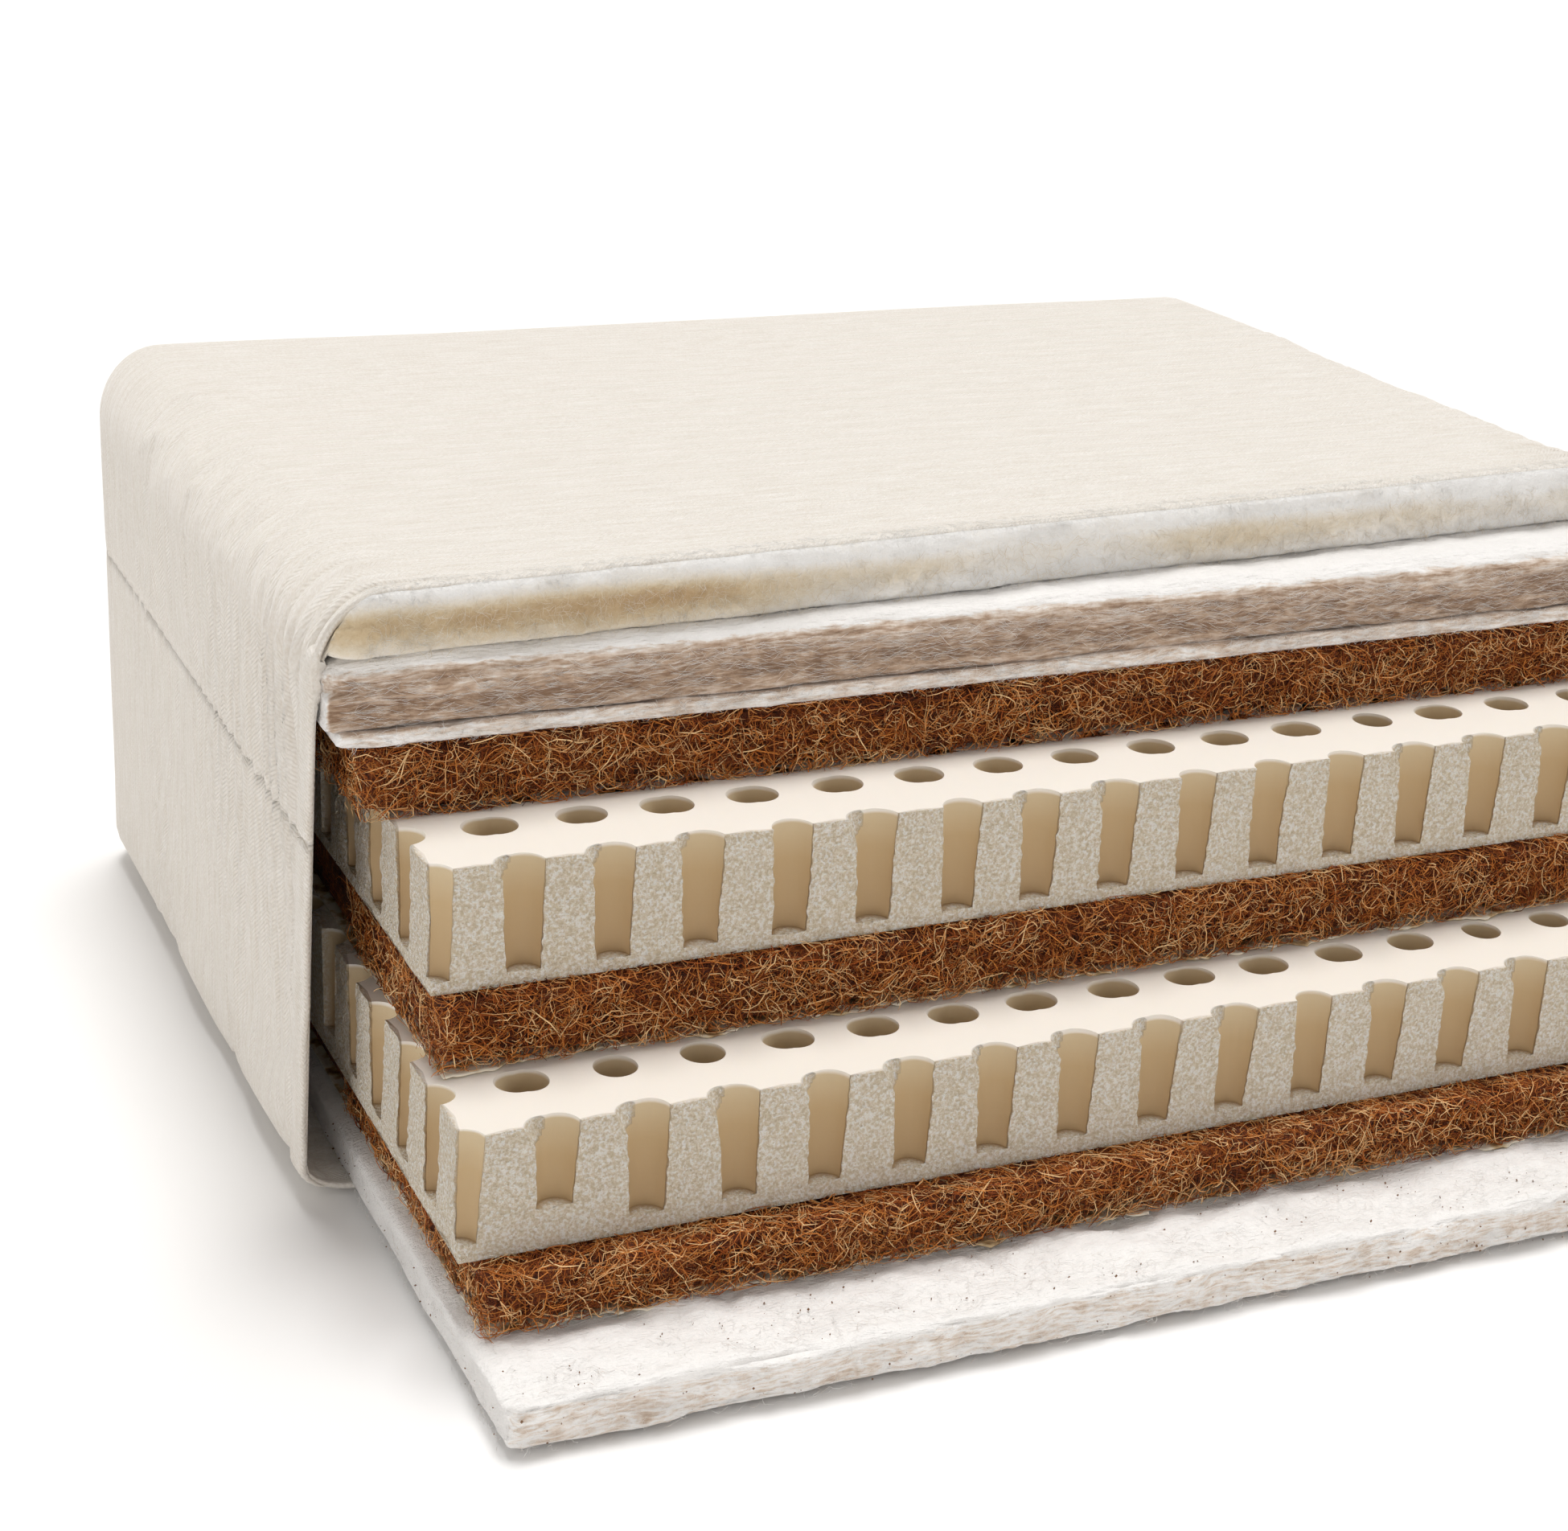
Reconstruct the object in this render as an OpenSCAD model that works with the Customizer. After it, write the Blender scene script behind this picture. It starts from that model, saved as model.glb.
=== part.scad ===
// Cut-away display block of a layered natural mattress: cotton cover, wool, cotton batting,
// rubberised coir pads and two pin-core latex slabs, each stepped forward of the one above.
// Units are millimetres. Z is up, X runs along the block, the cut and stepped side faces -Y.

/* [Node] */

/* [Latex slabs] */
// Distance between neighbouring pin holes
pin_pitch = 30; // [24:1:36]
// Diameter of a pin hole at its open top
pin_top_d = 14.4; // [10:0.2:18]
// Diameter of a pin hole at its closed floor
pin_floor_d = 11.6; // [8:0.2:16]
// Pitches along the length of each slab
pin_columns = 16; // [10:1:20]
// Thickness of the upper slab
latex_upper_t = 41.1; // [30:0.1:60]
// Thickness of the lower slab
latex_lower_t = 42.3; // [30:0.1:60]
// Skin left under the holes of the upper slab
floor_upper = 4.1; // [2:0.1:10]
// Skin left under the holes of the lower slab
floor_lower = 5.9; // [2:0.1:10]
// Skin under the one short hole at the front of the lower slab
floor_short = 14; // [6:0.5:20]
// Sideways shift of the lower slab's hole grid
lower_grid_shift = -5.8; // [-15:0.1:15]
// Sideways shift of the lower slab itself
lower_slab_shift = -3; // [-10:0.5:10]

/* [Layer thicknesses] */
// Lower cotton batting
cotton_lower_t = 15.9; // [10:0.1:30]
// Rubber bonding film under a coir pad
bond_t = 0.8; // [0.4:0.1:2]
// Lower coir pad
coir_lower_t = 19.8; // [10:0.1:40]
// Middle coir pad
coir_middle_t = 25.2; // [10:0.1:40]
// Upper coir pad
coir_upper_t = 23.2; // [10:0.1:40]
// Thin cotton ply under the main batting
cotton_ply_t = 5.7; // [3:0.1:10]
// Main upper cotton batting
cotton_upper_t = 22.2; // [10:0.1:40]
// Wool fleece
wool_t = 19.4; // [10:0.1:40]
// Cover cloth
cloth_t = 2; // [0.8:0.1:4]
// Air left between neighbouring layers
gap = 0.3; // [0.2:0.05:1]

/* [Front steps, measured from the middle of the block] */
// Front of the lower cotton batting
front_cotton_lower = -247.5; // [-300:0.5:-200]
// Front of the lower coir pad
front_coir_lower = -212; // [-280:0.5:-180]
// Front of the lower latex slab
front_latex_lower = -200; // [-260:0.5:-160]
// Front of the middle coir pad
front_coir_middle = -161.5; // [-220:0.5:-130]
// Front of the upper latex slab
front_latex_upper = -157.5; // [-220:0.5:-130]
// Front of the upper coir pad
front_coir_upper = -114.5; // [-160:0.5:-80]
// Front of the upper cotton batting
front_cotton_upper = -111.5; // [-160:0.5:-80]
// Front of the wool at the middle of the block
front_wool = -97.5; // [-140:0.5:-60]
// How far the cover edge lies behind the wool
cover_setback = 3; // [0:0.5:20]

/* [Widths, half of each] */
// Outside of the cover
half_cover = 263; // [220:1:300]
// Wool and upper cotton
half_cotton = 259.5; // [220:0.5:290]
// Upper coir pad
half_coir_upper = 249; // [220:0.5:280]
// Middle coir pad
half_coir_middle = 238; // [220:0.5:280]
// Lower coir pad
half_coir_lower = 239; // [220:0.5:280]
// Lower cotton batting
half_cotton_lower = 245; // [220:0.5:280]

/* [Back ends] */
// Outside of the cover's back
back_cover = 247.5; // [200:0.5:300]
// Back of wool and cotton
back_cotton = 244.5; // [200:0.5:290]
// Back of coir and latex
back_slabs = 235; // [200:0.5:280]

/* [Cover] */
// Radius of the cover's top edges
cover_top_r = 26; // [10:1:40]
// Radius of the cover's bottom edges
cover_bottom_r = 14; // [6:1:30]
// Radius of the cover's upright corners at the back
cover_corner_r = 24; // [6:1:40]
// Height of the seam between the two halves of the cover
seam_z = 138; // [60:1:180]
// Turn of the front cut about the upright axis, in degrees
cut_turn = 3.3; // [0:0.1:8]
// Lean of the front cut towards the back at the foot, in degrees
cut_lean = 6.8; // [0:0.1:15]
// Width of the hem band along the cut edge
hem_w = 13; // [6:0.5:25]
// How far the hem stands out from the cloth
hem_proud = 1.2; // [0.5:0.1:3]
// Width of the tape behind the seam
tape_w = 12; // [6:0.5:25]
// Thickness of the tape behind the seam
tape_t = 0.8; // [0.4:0.1:2]

/* [Hidden] */
$fn = 48;

// Height of the underside of each layer, from the ground up.
z_cotton_lower = cloth_t + gap;
z_bond_lower = z_cotton_lower + cotton_lower_t + gap;
z_coir_lower = z_bond_lower + bond_t + gap;
z_latex_lower = z_coir_lower + coir_lower_t + gap;
z_bond_middle = z_latex_lower + latex_lower_t + gap;
z_coir_middle = z_bond_middle + bond_t + gap;
z_latex_upper = z_coir_middle + coir_middle_t + gap;
z_coir_upper = z_latex_upper + latex_upper_t + gap;
z_cotton_ply = z_coir_upper + coir_upper_t + gap;
z_cotton_upper = z_cotton_ply + cotton_ply_t + gap;
z_wool = z_cotton_upper + cotton_upper_t + gap;
z_cover_in = z_wool + wool_t + gap;
z_cover = z_cover_in + cloth_t;

half_slab = pin_columns * pin_pitch / 2;
row_setback = 1.3;
soft_corner_r = cover_corner_r - 2;
hem_top_w = 5;
eps = 0.01;
far = 700;

natural_cotton = [0.93, 0.90, 0.85];
raw_wool = [0.89, 0.83, 0.68];
white_cotton = [0.96, 0.94, 0.92];
coir_brown = [0.55, 0.29, 0.12];
latex_ivory = [0.94, 0.91, 0.82];
film_cream = [0.88, 0.83, 0.70];

// Rectangle from (a0, b0) to (a1, b1): lower corners of radius rl, upper corners of radius ru.
module rounded(a0, a1, b0, b1, rl, ru) {
  translate([a0, b0 + rl])
    square([a1 - a0, b1 - b0 - rl - ru]);
  translate([a0 + rl, b0])
    square([a1 - a0 - 2 * rl, rl + eps]);
  translate([a0 + ru, b1 - ru - eps])
    square([a1 - a0 - 2 * ru, ru + eps]);
  for (a = [a0 + rl, a1 - rl])
    translate([a, b0 + rl])
      circle(r = rl);
  for (a = [a0 + ru, a1 - ru])
    translate([a, b1 - ru])
      circle(r = ru);
}

// Section across the block (X to the side, Z up), run from y0 to y1.
module across(y0, y1) {
  translate([0, y1, 0])
    rotate([90, 0, 0])
      linear_extrude(y1 - y0)
        children();
}

// Section along the block (Y to the side, Z up), run from x0 to x1.
module lengthways(x0, x1) {
  translate([x0, 0, 0])
    rotate([90, 0, 90])
      linear_extrude(x1 - x0)
        children();
}

// Soft layer: every upper edge has radius ru, every lower edge rl and every upright edge rv.
module soft_layer(x0, x1, y0, y1, z0, z1, rl, ru, rv) {
  intersection() {
    across(y0 - 1, y1 + 1)
      rounded(x0, x1, z0, z1, rl, ru);
    lengthways(x0 - 1, x1 + 1)
      rounded(y0, y1, z0, z1, rl, ru);
    translate([0, 0, z0 - 1])
      linear_extrude(z1 - z0 + 2)
        rounded(x0, x1, y0, y1, rv, rv);
  }
}

// Everything behind the leaning front cut, set back by the given distance.
module behind_cut(setback) {
  translate([0, front_wool + setback, z_cover])
    rotate([cut_lean, 0, cut_turn])
      translate([-far, 0, -far])
        cube([2 * far, 2 * far, 2 * far]);
}

// Closed bag of cloth, its faces moved outwards by `out` from the plain cover.
module bag(out) {
  soft_layer(
    -half_cover - out, half_cover + out,
    front_cotton_lower - 60, back_cover + out,
    -out, z_cover + out,
    cover_bottom_r, cover_top_r + out, cover_corner_r
  );
}

// Wall of the bag between two offsets.
module cloth(outer, inner) {
  difference() {
    bag(outer);
    bag(inner);
  }
}

module slab_z(z0, z1) {
  translate([-far, -far, z0])
    cube([2 * far, 2 * far, z1 - z0]);
}

module cover_upper() {
  color(natural_cotton)
    intersection() {
      cloth(0, -cloth_t);
      union() {
        intersection() {
          behind_cut(cover_setback + hem_w + gap);
          slab_z(seam_z + gap / 2, z_cover + 1);
        }
        intersection() {
          behind_cut(cover_setback + hem_top_w + gap);
          slab_z(z_cover - cover_top_r, z_cover + 1);
        }
      }
    }
}

module cover_lower() {
  color(natural_cotton)
    intersection() {
      cloth(0, -cloth_t);
      union() {
        intersection() {
          behind_cut(cover_setback + hem_w + gap);
          slab_z(-1, seam_z - gap / 2);
        }
        intersection() {
          behind_cut(cover_setback);
          slab_z(-1, cover_bottom_r);
        }
      }
    }
}

// Tape sewn behind the seam, round both sides and the back.
module seam_tape() {
  color(natural_cotton)
    intersection() {
      cloth(-cloth_t - gap, -cloth_t - gap - tape_t);
      behind_cut(cover_setback + hem_w + gap);
      slab_z(seam_z - tape_w / 2, seam_z + tape_w / 2);
    }
}

// Strip of thicker, turned-in cloth that follows the cut edge.
module hem_strip(width) {
  intersection() {
    difference() {
      bag(hem_proud);
      bag(-cloth_t - hem_proud / 2);
    }
    difference() {
      behind_cut(cover_setback);
      behind_cut(cover_setback + width);
    }
  }
}

module hem_side(side, z0, z1) {
  color(natural_cotton)
    intersection() {
      hem_strip(hem_w);
      slab_z(z0, z1);
      translate([side > 0 ? 0 : -far, -far, -far])
        cube([far, 2 * far, 2 * far]);
    }
}

module hem_top() {
  color(natural_cotton)
    intersection() {
      cloth(0.5, -cloth_t);
      difference() {
        behind_cut(cover_setback);
        behind_cut(cover_setback + hem_top_w);
      }
      slab_z(z_cover - cover_top_r + gap, z_cover + 2);
    }
}

module hem_left_upper() {
  hem_side(-1, seam_z + gap / 2, z_cover - cover_top_r - gap);
}

module hem_left_lower() {
  hem_side(-1, cover_bottom_r + gap, seam_z - gap / 2);
}

module hem_right_upper() {
  hem_side(1, seam_z + gap / 2, z_cover - cover_top_r - gap);
}

module hem_right_lower() {
  hem_side(1, cover_bottom_r + gap, seam_z - gap / 2);
}

// Fleece just under the cover, its front parallel to the cut edge.
module wool_layer() {
  color(raw_wool)
    intersection() {
      soft_layer(
        -half_cotton, half_cotton, front_cotton_lower, back_cotton,
        z_wool, z_wool + wool_t, 3, 15, soft_corner_r
      );
      translate([0, front_wool, 0])
        rotate([0, 0, cut_turn])
          translate([-far, 0, 0])
            cube([2 * far, 2 * far, far]);
    }
}

module cotton_upper() {
  color(white_cotton)
    soft_layer(
      -half_cotton, half_cotton, front_cotton_upper, back_cotton,
      z_cotton_upper, z_cotton_upper + cotton_upper_t, 8, 8, soft_corner_r
    );
}

module cotton_upper_ply() {
  color(white_cotton)
    soft_layer(
      -half_cotton + 3, half_cotton - 3, front_cotton_upper - 2.5, back_cotton,
      z_cotton_ply, z_cotton_ply + cotton_ply_t, 2, 2, soft_corner_r
    );
}

module coir_upper() {
  color(coir_brown)
    soft_layer(
      -half_coir_upper, half_coir_upper, front_coir_upper, back_slabs,
      z_coir_upper, z_coir_upper + coir_upper_t, 4, 3, 10
    );
}

// Grid of tapered pin holes, open at the top of a slab.
module pin_grid(x_shift, y_first, rows, z_floor, z_top) {
  for (i = [0 : pin_columns])
    for (j = [0 : rows - 1])
      translate([-half_slab + x_shift + i * pin_pitch, y_first + j * pin_pitch, z_floor])
        cylinder(h = z_top - z_floor + eps, r1 = pin_floor_d / 2, r2 = pin_top_d / 2);
}

module latex_upper() {
  rows = floor((back_slabs - front_latex_upper) / pin_pitch) + 1;
  color(latex_ivory)
    difference() {
      translate([-half_slab + 0.5, front_latex_upper, z_latex_upper])
        cube([2 * half_slab - 1, back_slabs - front_latex_upper, latex_upper_t]);
      pin_grid(
        0, front_latex_upper + row_setback, rows,
        z_latex_upper + floor_upper, z_latex_upper + latex_upper_t
      );
    }
}

module latex_lower() {
  rows = floor((back_slabs - front_latex_lower) / pin_pitch) + 1;
  color(latex_ivory)
    difference() {
      translate([-half_slab + lower_slab_shift, front_latex_lower, z_latex_lower])
        cube([2 * half_slab, back_slabs - front_latex_lower, latex_lower_t]);
      difference() {
        pin_grid(
          lower_grid_shift, front_latex_lower - 0.3, rows,
          z_latex_lower + floor_lower, z_latex_lower + latex_lower_t
        );
        translate([
          -half_slab + lower_grid_shift + pin_pitch / 2,
          front_latex_lower - pin_pitch / 2,
          z_latex_lower
        ])
          cube([pin_pitch, pin_pitch, floor_short]);
      }
    }
}

// Thin rubber film with its front edge just inside the pad above it.
module bond_film(half, front, z) {
  translate([-half + 1, front + 1.5, z])
    cube([2 * half - 2, back_slabs - front - 1.5, bond_t]);
}

module bond_middle() {
  color(film_cream)
    bond_film(half_coir_middle, front_coir_middle, z_bond_middle);
}

module coir_middle() {
  color(coir_brown)
    soft_layer(
      -half_coir_middle, half_coir_middle, front_coir_middle, back_slabs,
      z_coir_middle, z_coir_middle + coir_middle_t, 6, 3, 10
    );
}

module bond_lower() {
  color(film_cream)
    bond_film(half_coir_lower, front_coir_lower, z_bond_lower);
}

module coir_lower() {
  color(coir_brown)
    soft_layer(
      -half_coir_lower, half_coir_lower, front_coir_lower, back_slabs,
      z_coir_lower, z_coir_lower + coir_lower_t, 4, 3, 10
    );
}

// Batting that lies on the cover's base at the back and on the ground in front of it.
module cotton_lower() {
  color(white_cotton)
    difference() {
      soft_layer(
        -half_cotton_lower, half_cotton_lower, front_cotton_lower, back_slabs,
        0, z_cotton_lower + cotton_lower_t, 5, 7, 12
      );
      intersection() {
        behind_cut(cover_setback - 1);
        slab_z(-1, z_cotton_lower);
      }
    }
}

cover_upper();
cover_lower();
seam_tape();
hem_top();
hem_left_upper();
hem_left_lower();
hem_right_upper();
hem_right_lower();
wool_layer();
cotton_upper();
cotton_upper_ply();
coir_upper();
latex_upper();
bond_middle();
coir_middle();
latex_lower();
bond_lower();
coir_lower();
cotton_lower();
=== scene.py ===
"""Cut-away block of a layered natural mattress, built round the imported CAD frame."""

import math

import bpy
import numpy as np
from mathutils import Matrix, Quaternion, Vector


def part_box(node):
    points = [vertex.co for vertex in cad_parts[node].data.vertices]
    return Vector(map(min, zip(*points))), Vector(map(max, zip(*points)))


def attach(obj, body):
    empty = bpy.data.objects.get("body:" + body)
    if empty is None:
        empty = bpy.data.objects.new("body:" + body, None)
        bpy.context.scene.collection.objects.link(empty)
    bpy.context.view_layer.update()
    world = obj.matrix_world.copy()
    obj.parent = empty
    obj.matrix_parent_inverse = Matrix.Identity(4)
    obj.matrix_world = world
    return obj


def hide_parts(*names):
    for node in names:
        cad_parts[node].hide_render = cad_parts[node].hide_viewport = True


bl_info = {
    "name": "Layered mattress block",
    "version": (1, 0, 0),
    "blender": (4, 5, 0),
    "location": "View3D > Sidebar > Mattress",
    "description": "Builds the cover, fleece, batting, coir pads and latex slabs of a cut-away mattress",
    "category": "Object",
}

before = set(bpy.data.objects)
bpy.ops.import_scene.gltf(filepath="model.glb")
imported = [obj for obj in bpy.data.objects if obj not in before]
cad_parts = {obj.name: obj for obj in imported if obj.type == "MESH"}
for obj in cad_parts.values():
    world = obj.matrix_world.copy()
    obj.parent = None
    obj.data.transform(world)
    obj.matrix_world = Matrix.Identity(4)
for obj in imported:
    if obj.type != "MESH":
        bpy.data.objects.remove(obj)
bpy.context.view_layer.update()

MM = 0.001
SEED = 71

# The front cut of the cover leans back and turns a little about the upright axis (degrees).
CUT_TURN, CUT_LEAN = 3.3, 6.8
TURN_SLOPE = math.tan(math.radians(CUT_TURN))
LEAN_SLOPE = math.tan(math.radians(CUT_LEAN))
# Radii of the cloth's rounded top edges: along X, along Y, along Z (mm).
COVER_R = (26.0, 26.0, 30.0)
COVER_FOOT_R = (26.0, 26.0, 14.0)
# Everything behind this plane is inside the cover and stays coarse (mm).
HIDDEN_Y = -58.0


# --- Numbers ---


def box_mm(node):
    """Lowest and highest corner of a CAD node in millimetres."""
    low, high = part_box(node)
    return np.array(low) / MM, np.array(high) / MM


def cell_noise(points, size, seed):
    """Smooth value noise from -1 to 1: random values at the corners of a lattice of cells,
    blended across each cell by the smooth step 3t^2 - 2t^3. `size` is the cell size in mm."""
    q = np.asarray(points, float) / np.asarray(size, float)
    cell = np.floor(q).astype(np.int64)
    t = q - cell
    t = t * t * (3.0 - 2.0 * t)
    total = np.zeros(q.shape[:-1])
    for dx in (0, 1):
        for dy in (0, 1):
            for dz in (0, 1):
                n = (
                    (cell[..., 0] + dx) * 73856093
                    ^ (cell[..., 1] + dy) * 19349663
                    ^ (cell[..., 2] + dz) * 83492791
                    ^ (seed * 668265263)
                )
                n = (n ^ (n >> 13)) * 1274126177
                n = n ^ (n >> 16)
                value = (n & 0xFFFF) / 32767.5 - 1.0
                weight = (
                    (t[..., 0] if dx else 1 - t[..., 0])
                    * (t[..., 1] if dy else 1 - t[..., 1])
                    * (t[..., 2] if dz else 1 - t[..., 2])
                )
                total += weight * value
    return total


def rough_noise(points, size, seed, octaves=3, gain=0.55):
    """Sum of cell noises, each half the size and `gain` times the height of the one before."""
    size = np.broadcast_to(np.asarray(size, float), (3,)).copy()
    total, height, norm = 0.0, 1.0, 0.0
    for k in range(octaves):
        total = total + height * cell_noise(points, size, seed + 17 * k)
        norm += height
        height *= gain
        size *= 0.5
    return total / norm


def ease(edge0, edge1, x):
    """Smooth step from 0 at edge0 to 1 at edge1."""
    t = np.clip((np.asarray(x, float) - edge0) / (edge1 - edge0), 0.0, 1.0)
    return t * t * (3.0 - 2.0 * t)


def steps(start, stop, size):
    """Evenly spaced values from start to stop, about `size` apart."""
    return np.linspace(start, stop, max(2, int(round(abs(stop - start) / size)) + 1))


def graded(*spans):
    """Joins (start, stop, size) spans into one rising list of values."""
    return np.unique(np.round(np.concatenate([steps(*s) for s in spans]), 5))


def unit(v):
    """Vectors scaled to length 1."""
    return v / np.maximum(np.linalg.norm(v, axis=-1, keepdims=True), 1e-9)


# --- Grids and meshes ---


def id_quads(ids, flip=False):
    """Quads between the neighbours in a grid of point numbers."""
    quads = np.stack([ids[:-1, :-1], ids[1:, :-1], ids[1:, 1:], ids[:-1, 1:]], -1)
    quads = quads.reshape(-1, 4)
    return quads[:, ::-1] if flip else quads


def grid_faces(rows, columns, flip=False):
    """Quads of a rows x columns grid of points numbered row by row."""
    return id_quads(np.arange(rows * columns).reshape(rows, columns), flip)


def box_grid(xs, ys, zs, leave_out=()):
    """Skin of a box as grids over its six sides that share their edges. Sides are named
    -x, +x, -y, +y, -z, +z. Returns the points, and quads that face outwards."""
    axes = (np.asarray(xs), np.asarray(ys), np.asarray(zs))
    n = [len(a) for a in axes]
    quads = []
    for axis in range(3):
        a, b = [k for k in range(3) if k != axis]
        u, v = np.meshgrid(np.arange(n[a]), np.arange(n[b]), indexing="ij")
        for end in (0, 1):
            if "-+"[end] + "xyz"[axis] in leave_out:
                continue
            index = np.zeros(u.shape + (3,), np.int64)
            index[..., a] = u
            index[..., b] = v
            index[..., axis] = (n[axis] - 1) * end
            ids = (index[..., 0] * n[1] + index[..., 1]) * n[2] + index[..., 2]
            outward = (axis != 1) == bool(end)
            quads.append(id_quads(ids, not outward))
    quads = np.concatenate(quads)
    used, quads = np.unique(quads, return_inverse=True)
    quads = quads.reshape(-1, 4)
    k = used % n[2]
    j = (used // n[2]) % n[1]
    i = used // (n[1] * n[2])
    return np.stack([axes[0][i], axes[1][j], axes[2][k]], -1).astype(float), quads


def round_off(points, low, high, r_up, r_down):
    """Rounds a box skin: each point is pulled to the ellipsoid of radii r about the nearest
    point of the box shrunk by r. Returns the points and their outward directions."""
    middle = (low[2] + high[2]) / 2
    upper = (points[:, 2:3] > middle).astype(float)
    r = upper * np.asarray(r_up, float) + (1 - upper) * np.asarray(r_down, float)
    inner = np.clip(points, np.asarray(low) + r, np.asarray(high) - r)
    d = unit((points - inner) / r)
    return inner + r * d, unit(d / r)


def weld(points, faces, size=0.001):
    """Merges points that fall together, closer than about `size` mm."""
    key = np.round(points / size).astype(np.int64)
    _, first, back = np.unique(key, axis=0, return_index=True, return_inverse=True)
    faces = back.reshape(-1)[faces]
    return points[first], faces


class Skin:
    """Collects patches of points and faces until they become one mesh."""

    def __init__(self):
        self.points, self.quads, self.count = [], [], 0

    def add(self, points, quads):
        points = np.asarray(points, float).reshape(-1, 3)
        self.quads.append(np.asarray(quads) + self.count)
        self.points.append(points)
        self.count += len(points)

    def patch(self, grid, flip=False):
        rows, columns = grid.shape[:2]
        self.add(grid, grid_faces(rows, columns, flip))

    def joined(self):
        return np.concatenate(self.points), np.concatenate(self.quads)


def link_mesh(name, points, quads=None, triangles=None, smooth=True, uv=None, shade=None):
    """Makes an object from points in millimetres. `uv` is per point, in metres, and `shade`
    is one number per point that the material can read. A quad with one doubled corner turns
    into a triangle, and one with two is dropped."""
    loops, sizes = [], []
    if quads is not None:
        quads = np.asarray(quads)
        doubled = quads == np.roll(quads, -1, axis=1)
        times = doubled.sum(1)
        loops.append(quads[times == 0].ravel())
        sizes.append(np.full((times == 0).sum(), 4))
        loops.append(quads[times == 1][~doubled[times == 1]])
        sizes.append(np.full((times == 1).sum(), 3))
    if triangles is not None:
        loops.append(triangles.ravel())
        sizes.append(np.full(len(triangles), 3))
    loops = np.concatenate(loops).astype(np.int32)
    sizes = np.concatenate(sizes).astype(np.int32)
    mesh = bpy.data.meshes.new(name)
    mesh.vertices.add(len(points))
    mesh.vertices.foreach_set("co", (np.asarray(points) * MM).astype(np.float32).ravel())
    mesh.loops.add(len(loops))
    mesh.loops.foreach_set("vertex_index", loops)
    mesh.polygons.add(len(sizes))
    starts = np.concatenate([[0], np.cumsum(sizes)[:-1]]).astype(np.int32)
    mesh.polygons.foreach_set("loop_start", starts)
    mesh.polygons.foreach_set("use_smooth", np.full(len(sizes), smooth))
    mesh.update(calc_edges=True)
    if uv is not None:
        layer = mesh.uv_layers.new(name="Cloth")
        layer.data.foreach_set("uv", np.asarray(uv, np.float32)[loops].ravel())
    if shade is not None:
        at = mesh.attributes.new("shade", "FLOAT", "POINT")
        at.data.foreach_set("value", np.asarray(shade, np.float32))
    mesh.validate()
    obj = bpy.data.objects.new(name, mesh)
    bpy.context.scene.collection.objects.link(obj)
    return obj


def place(obj, node, material):
    """Hands a finished piece to the frame in place of its CAD node."""
    obj.data.materials.append(material)
    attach(obj, "root")
    if node:
        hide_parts(node)
    return obj


def fibre_tubes(paths, radius, sides=3):
    """Thin tubes along many paths at once. `paths` is fibres x points x 3; each ring stands
    across the local direction, and the ends taper to 40 percent and are closed."""
    count, length = paths.shape[:2]
    along = unit(np.gradient(paths, axis=1))
    steep = np.abs(along[..., 2:3]) > 0.9
    helper = np.where(steep, (1.0, 0.0, 0.0), (0.0, 0.0, 1.0))
    a = unit(np.cross(along, helper))
    b = np.cross(along, a)
    angle = np.arange(sides) * 2 * math.pi / sides
    t = np.linspace(-1, 1, length)
    taper = 1.0 - 0.6 * np.abs(t) ** 4
    r = np.asarray(radius, float).reshape(-1, 1, 1, 1) * taper[None, :, None, None]
    ring = (
        a[:, :, None, :] * np.cos(angle)[None, None, :, None]
        + b[:, :, None, :] * np.sin(angle)[None, None, :, None]
    )
    points = paths[:, :, None, :] + r * ring
    base = np.arange(count * length * sides).reshape(count, length, sides)
    nxt = np.roll(base, -1, axis=2)
    quads = np.stack([base[:, :-1], base[:, 1:], nxt[:, 1:], nxt[:, :-1]], -1)
    quads = quads.reshape(-1, 4)[:, ::-1]
    caps = np.concatenate([base[:, 0, :3], base[:, -1, :3][:, ::-1]])
    return points.reshape(-1, 3), quads, caps


# --- Materials ---


def linear(hex_colour):
    """sRGB hex to the linear numbers the shader wants."""
    values = [int(hex_colour[i : i + 2], 16) / 255 for i in (1, 3, 5)]
    out = [v / 12.92 if v <= 0.04045 else ((v + 0.055) / 1.055) ** 2.4 for v in values]
    return (*out, 1.0)


def add(tree, kind, settings=None, **links):
    """Adds a node, sets it and fills its inputs. An input is named, with _ for a space, or is
    n and its number; its value is a node, an output or a constant. The setting `stops` holds
    a colour ramp's (position, colour) pairs; a colour is a hex string or linear numbers."""
    node = tree.nodes.new("ShaderNode" + kind)
    settings = dict(settings or {})
    stops = settings.pop("stops", ())
    for name, value in settings.items():
        setattr(node, name, value)
    if stops:
        elements = node.color_ramp.elements
        while len(elements) < len(stops):
            elements.new(0.5)
        for element, (position, colour) in zip(elements, stops):
            element.position = position
            element.color = linear(colour) if isinstance(colour, str) else colour
    for name, value in links.items():
        key = int(name[1:]) if name[0] == "n" and name[1:].isdigit() else name.replace("_", " ")
        value = value.outputs[0] if isinstance(value, bpy.types.Node) else value
        if isinstance(value, bpy.types.NodeSocket):
            tree.links.new(value, node.inputs[key])
        else:
            node.inputs[key].default_value = value
    return node


def new_material(name, roughness, colour, **constants):
    """A material with one Principled surface. Returns the material, its tree and the surface."""
    material = bpy.data.materials.new(name)
    material.use_nodes = True
    tree = material.node_tree
    tree.nodes.clear()
    surface = add(tree, "BsdfPrincipled", Roughness=roughness, Base_Color=colour, **constants)
    add(tree, "OutputMaterial", Surface=surface)
    return material, tree, surface


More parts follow.
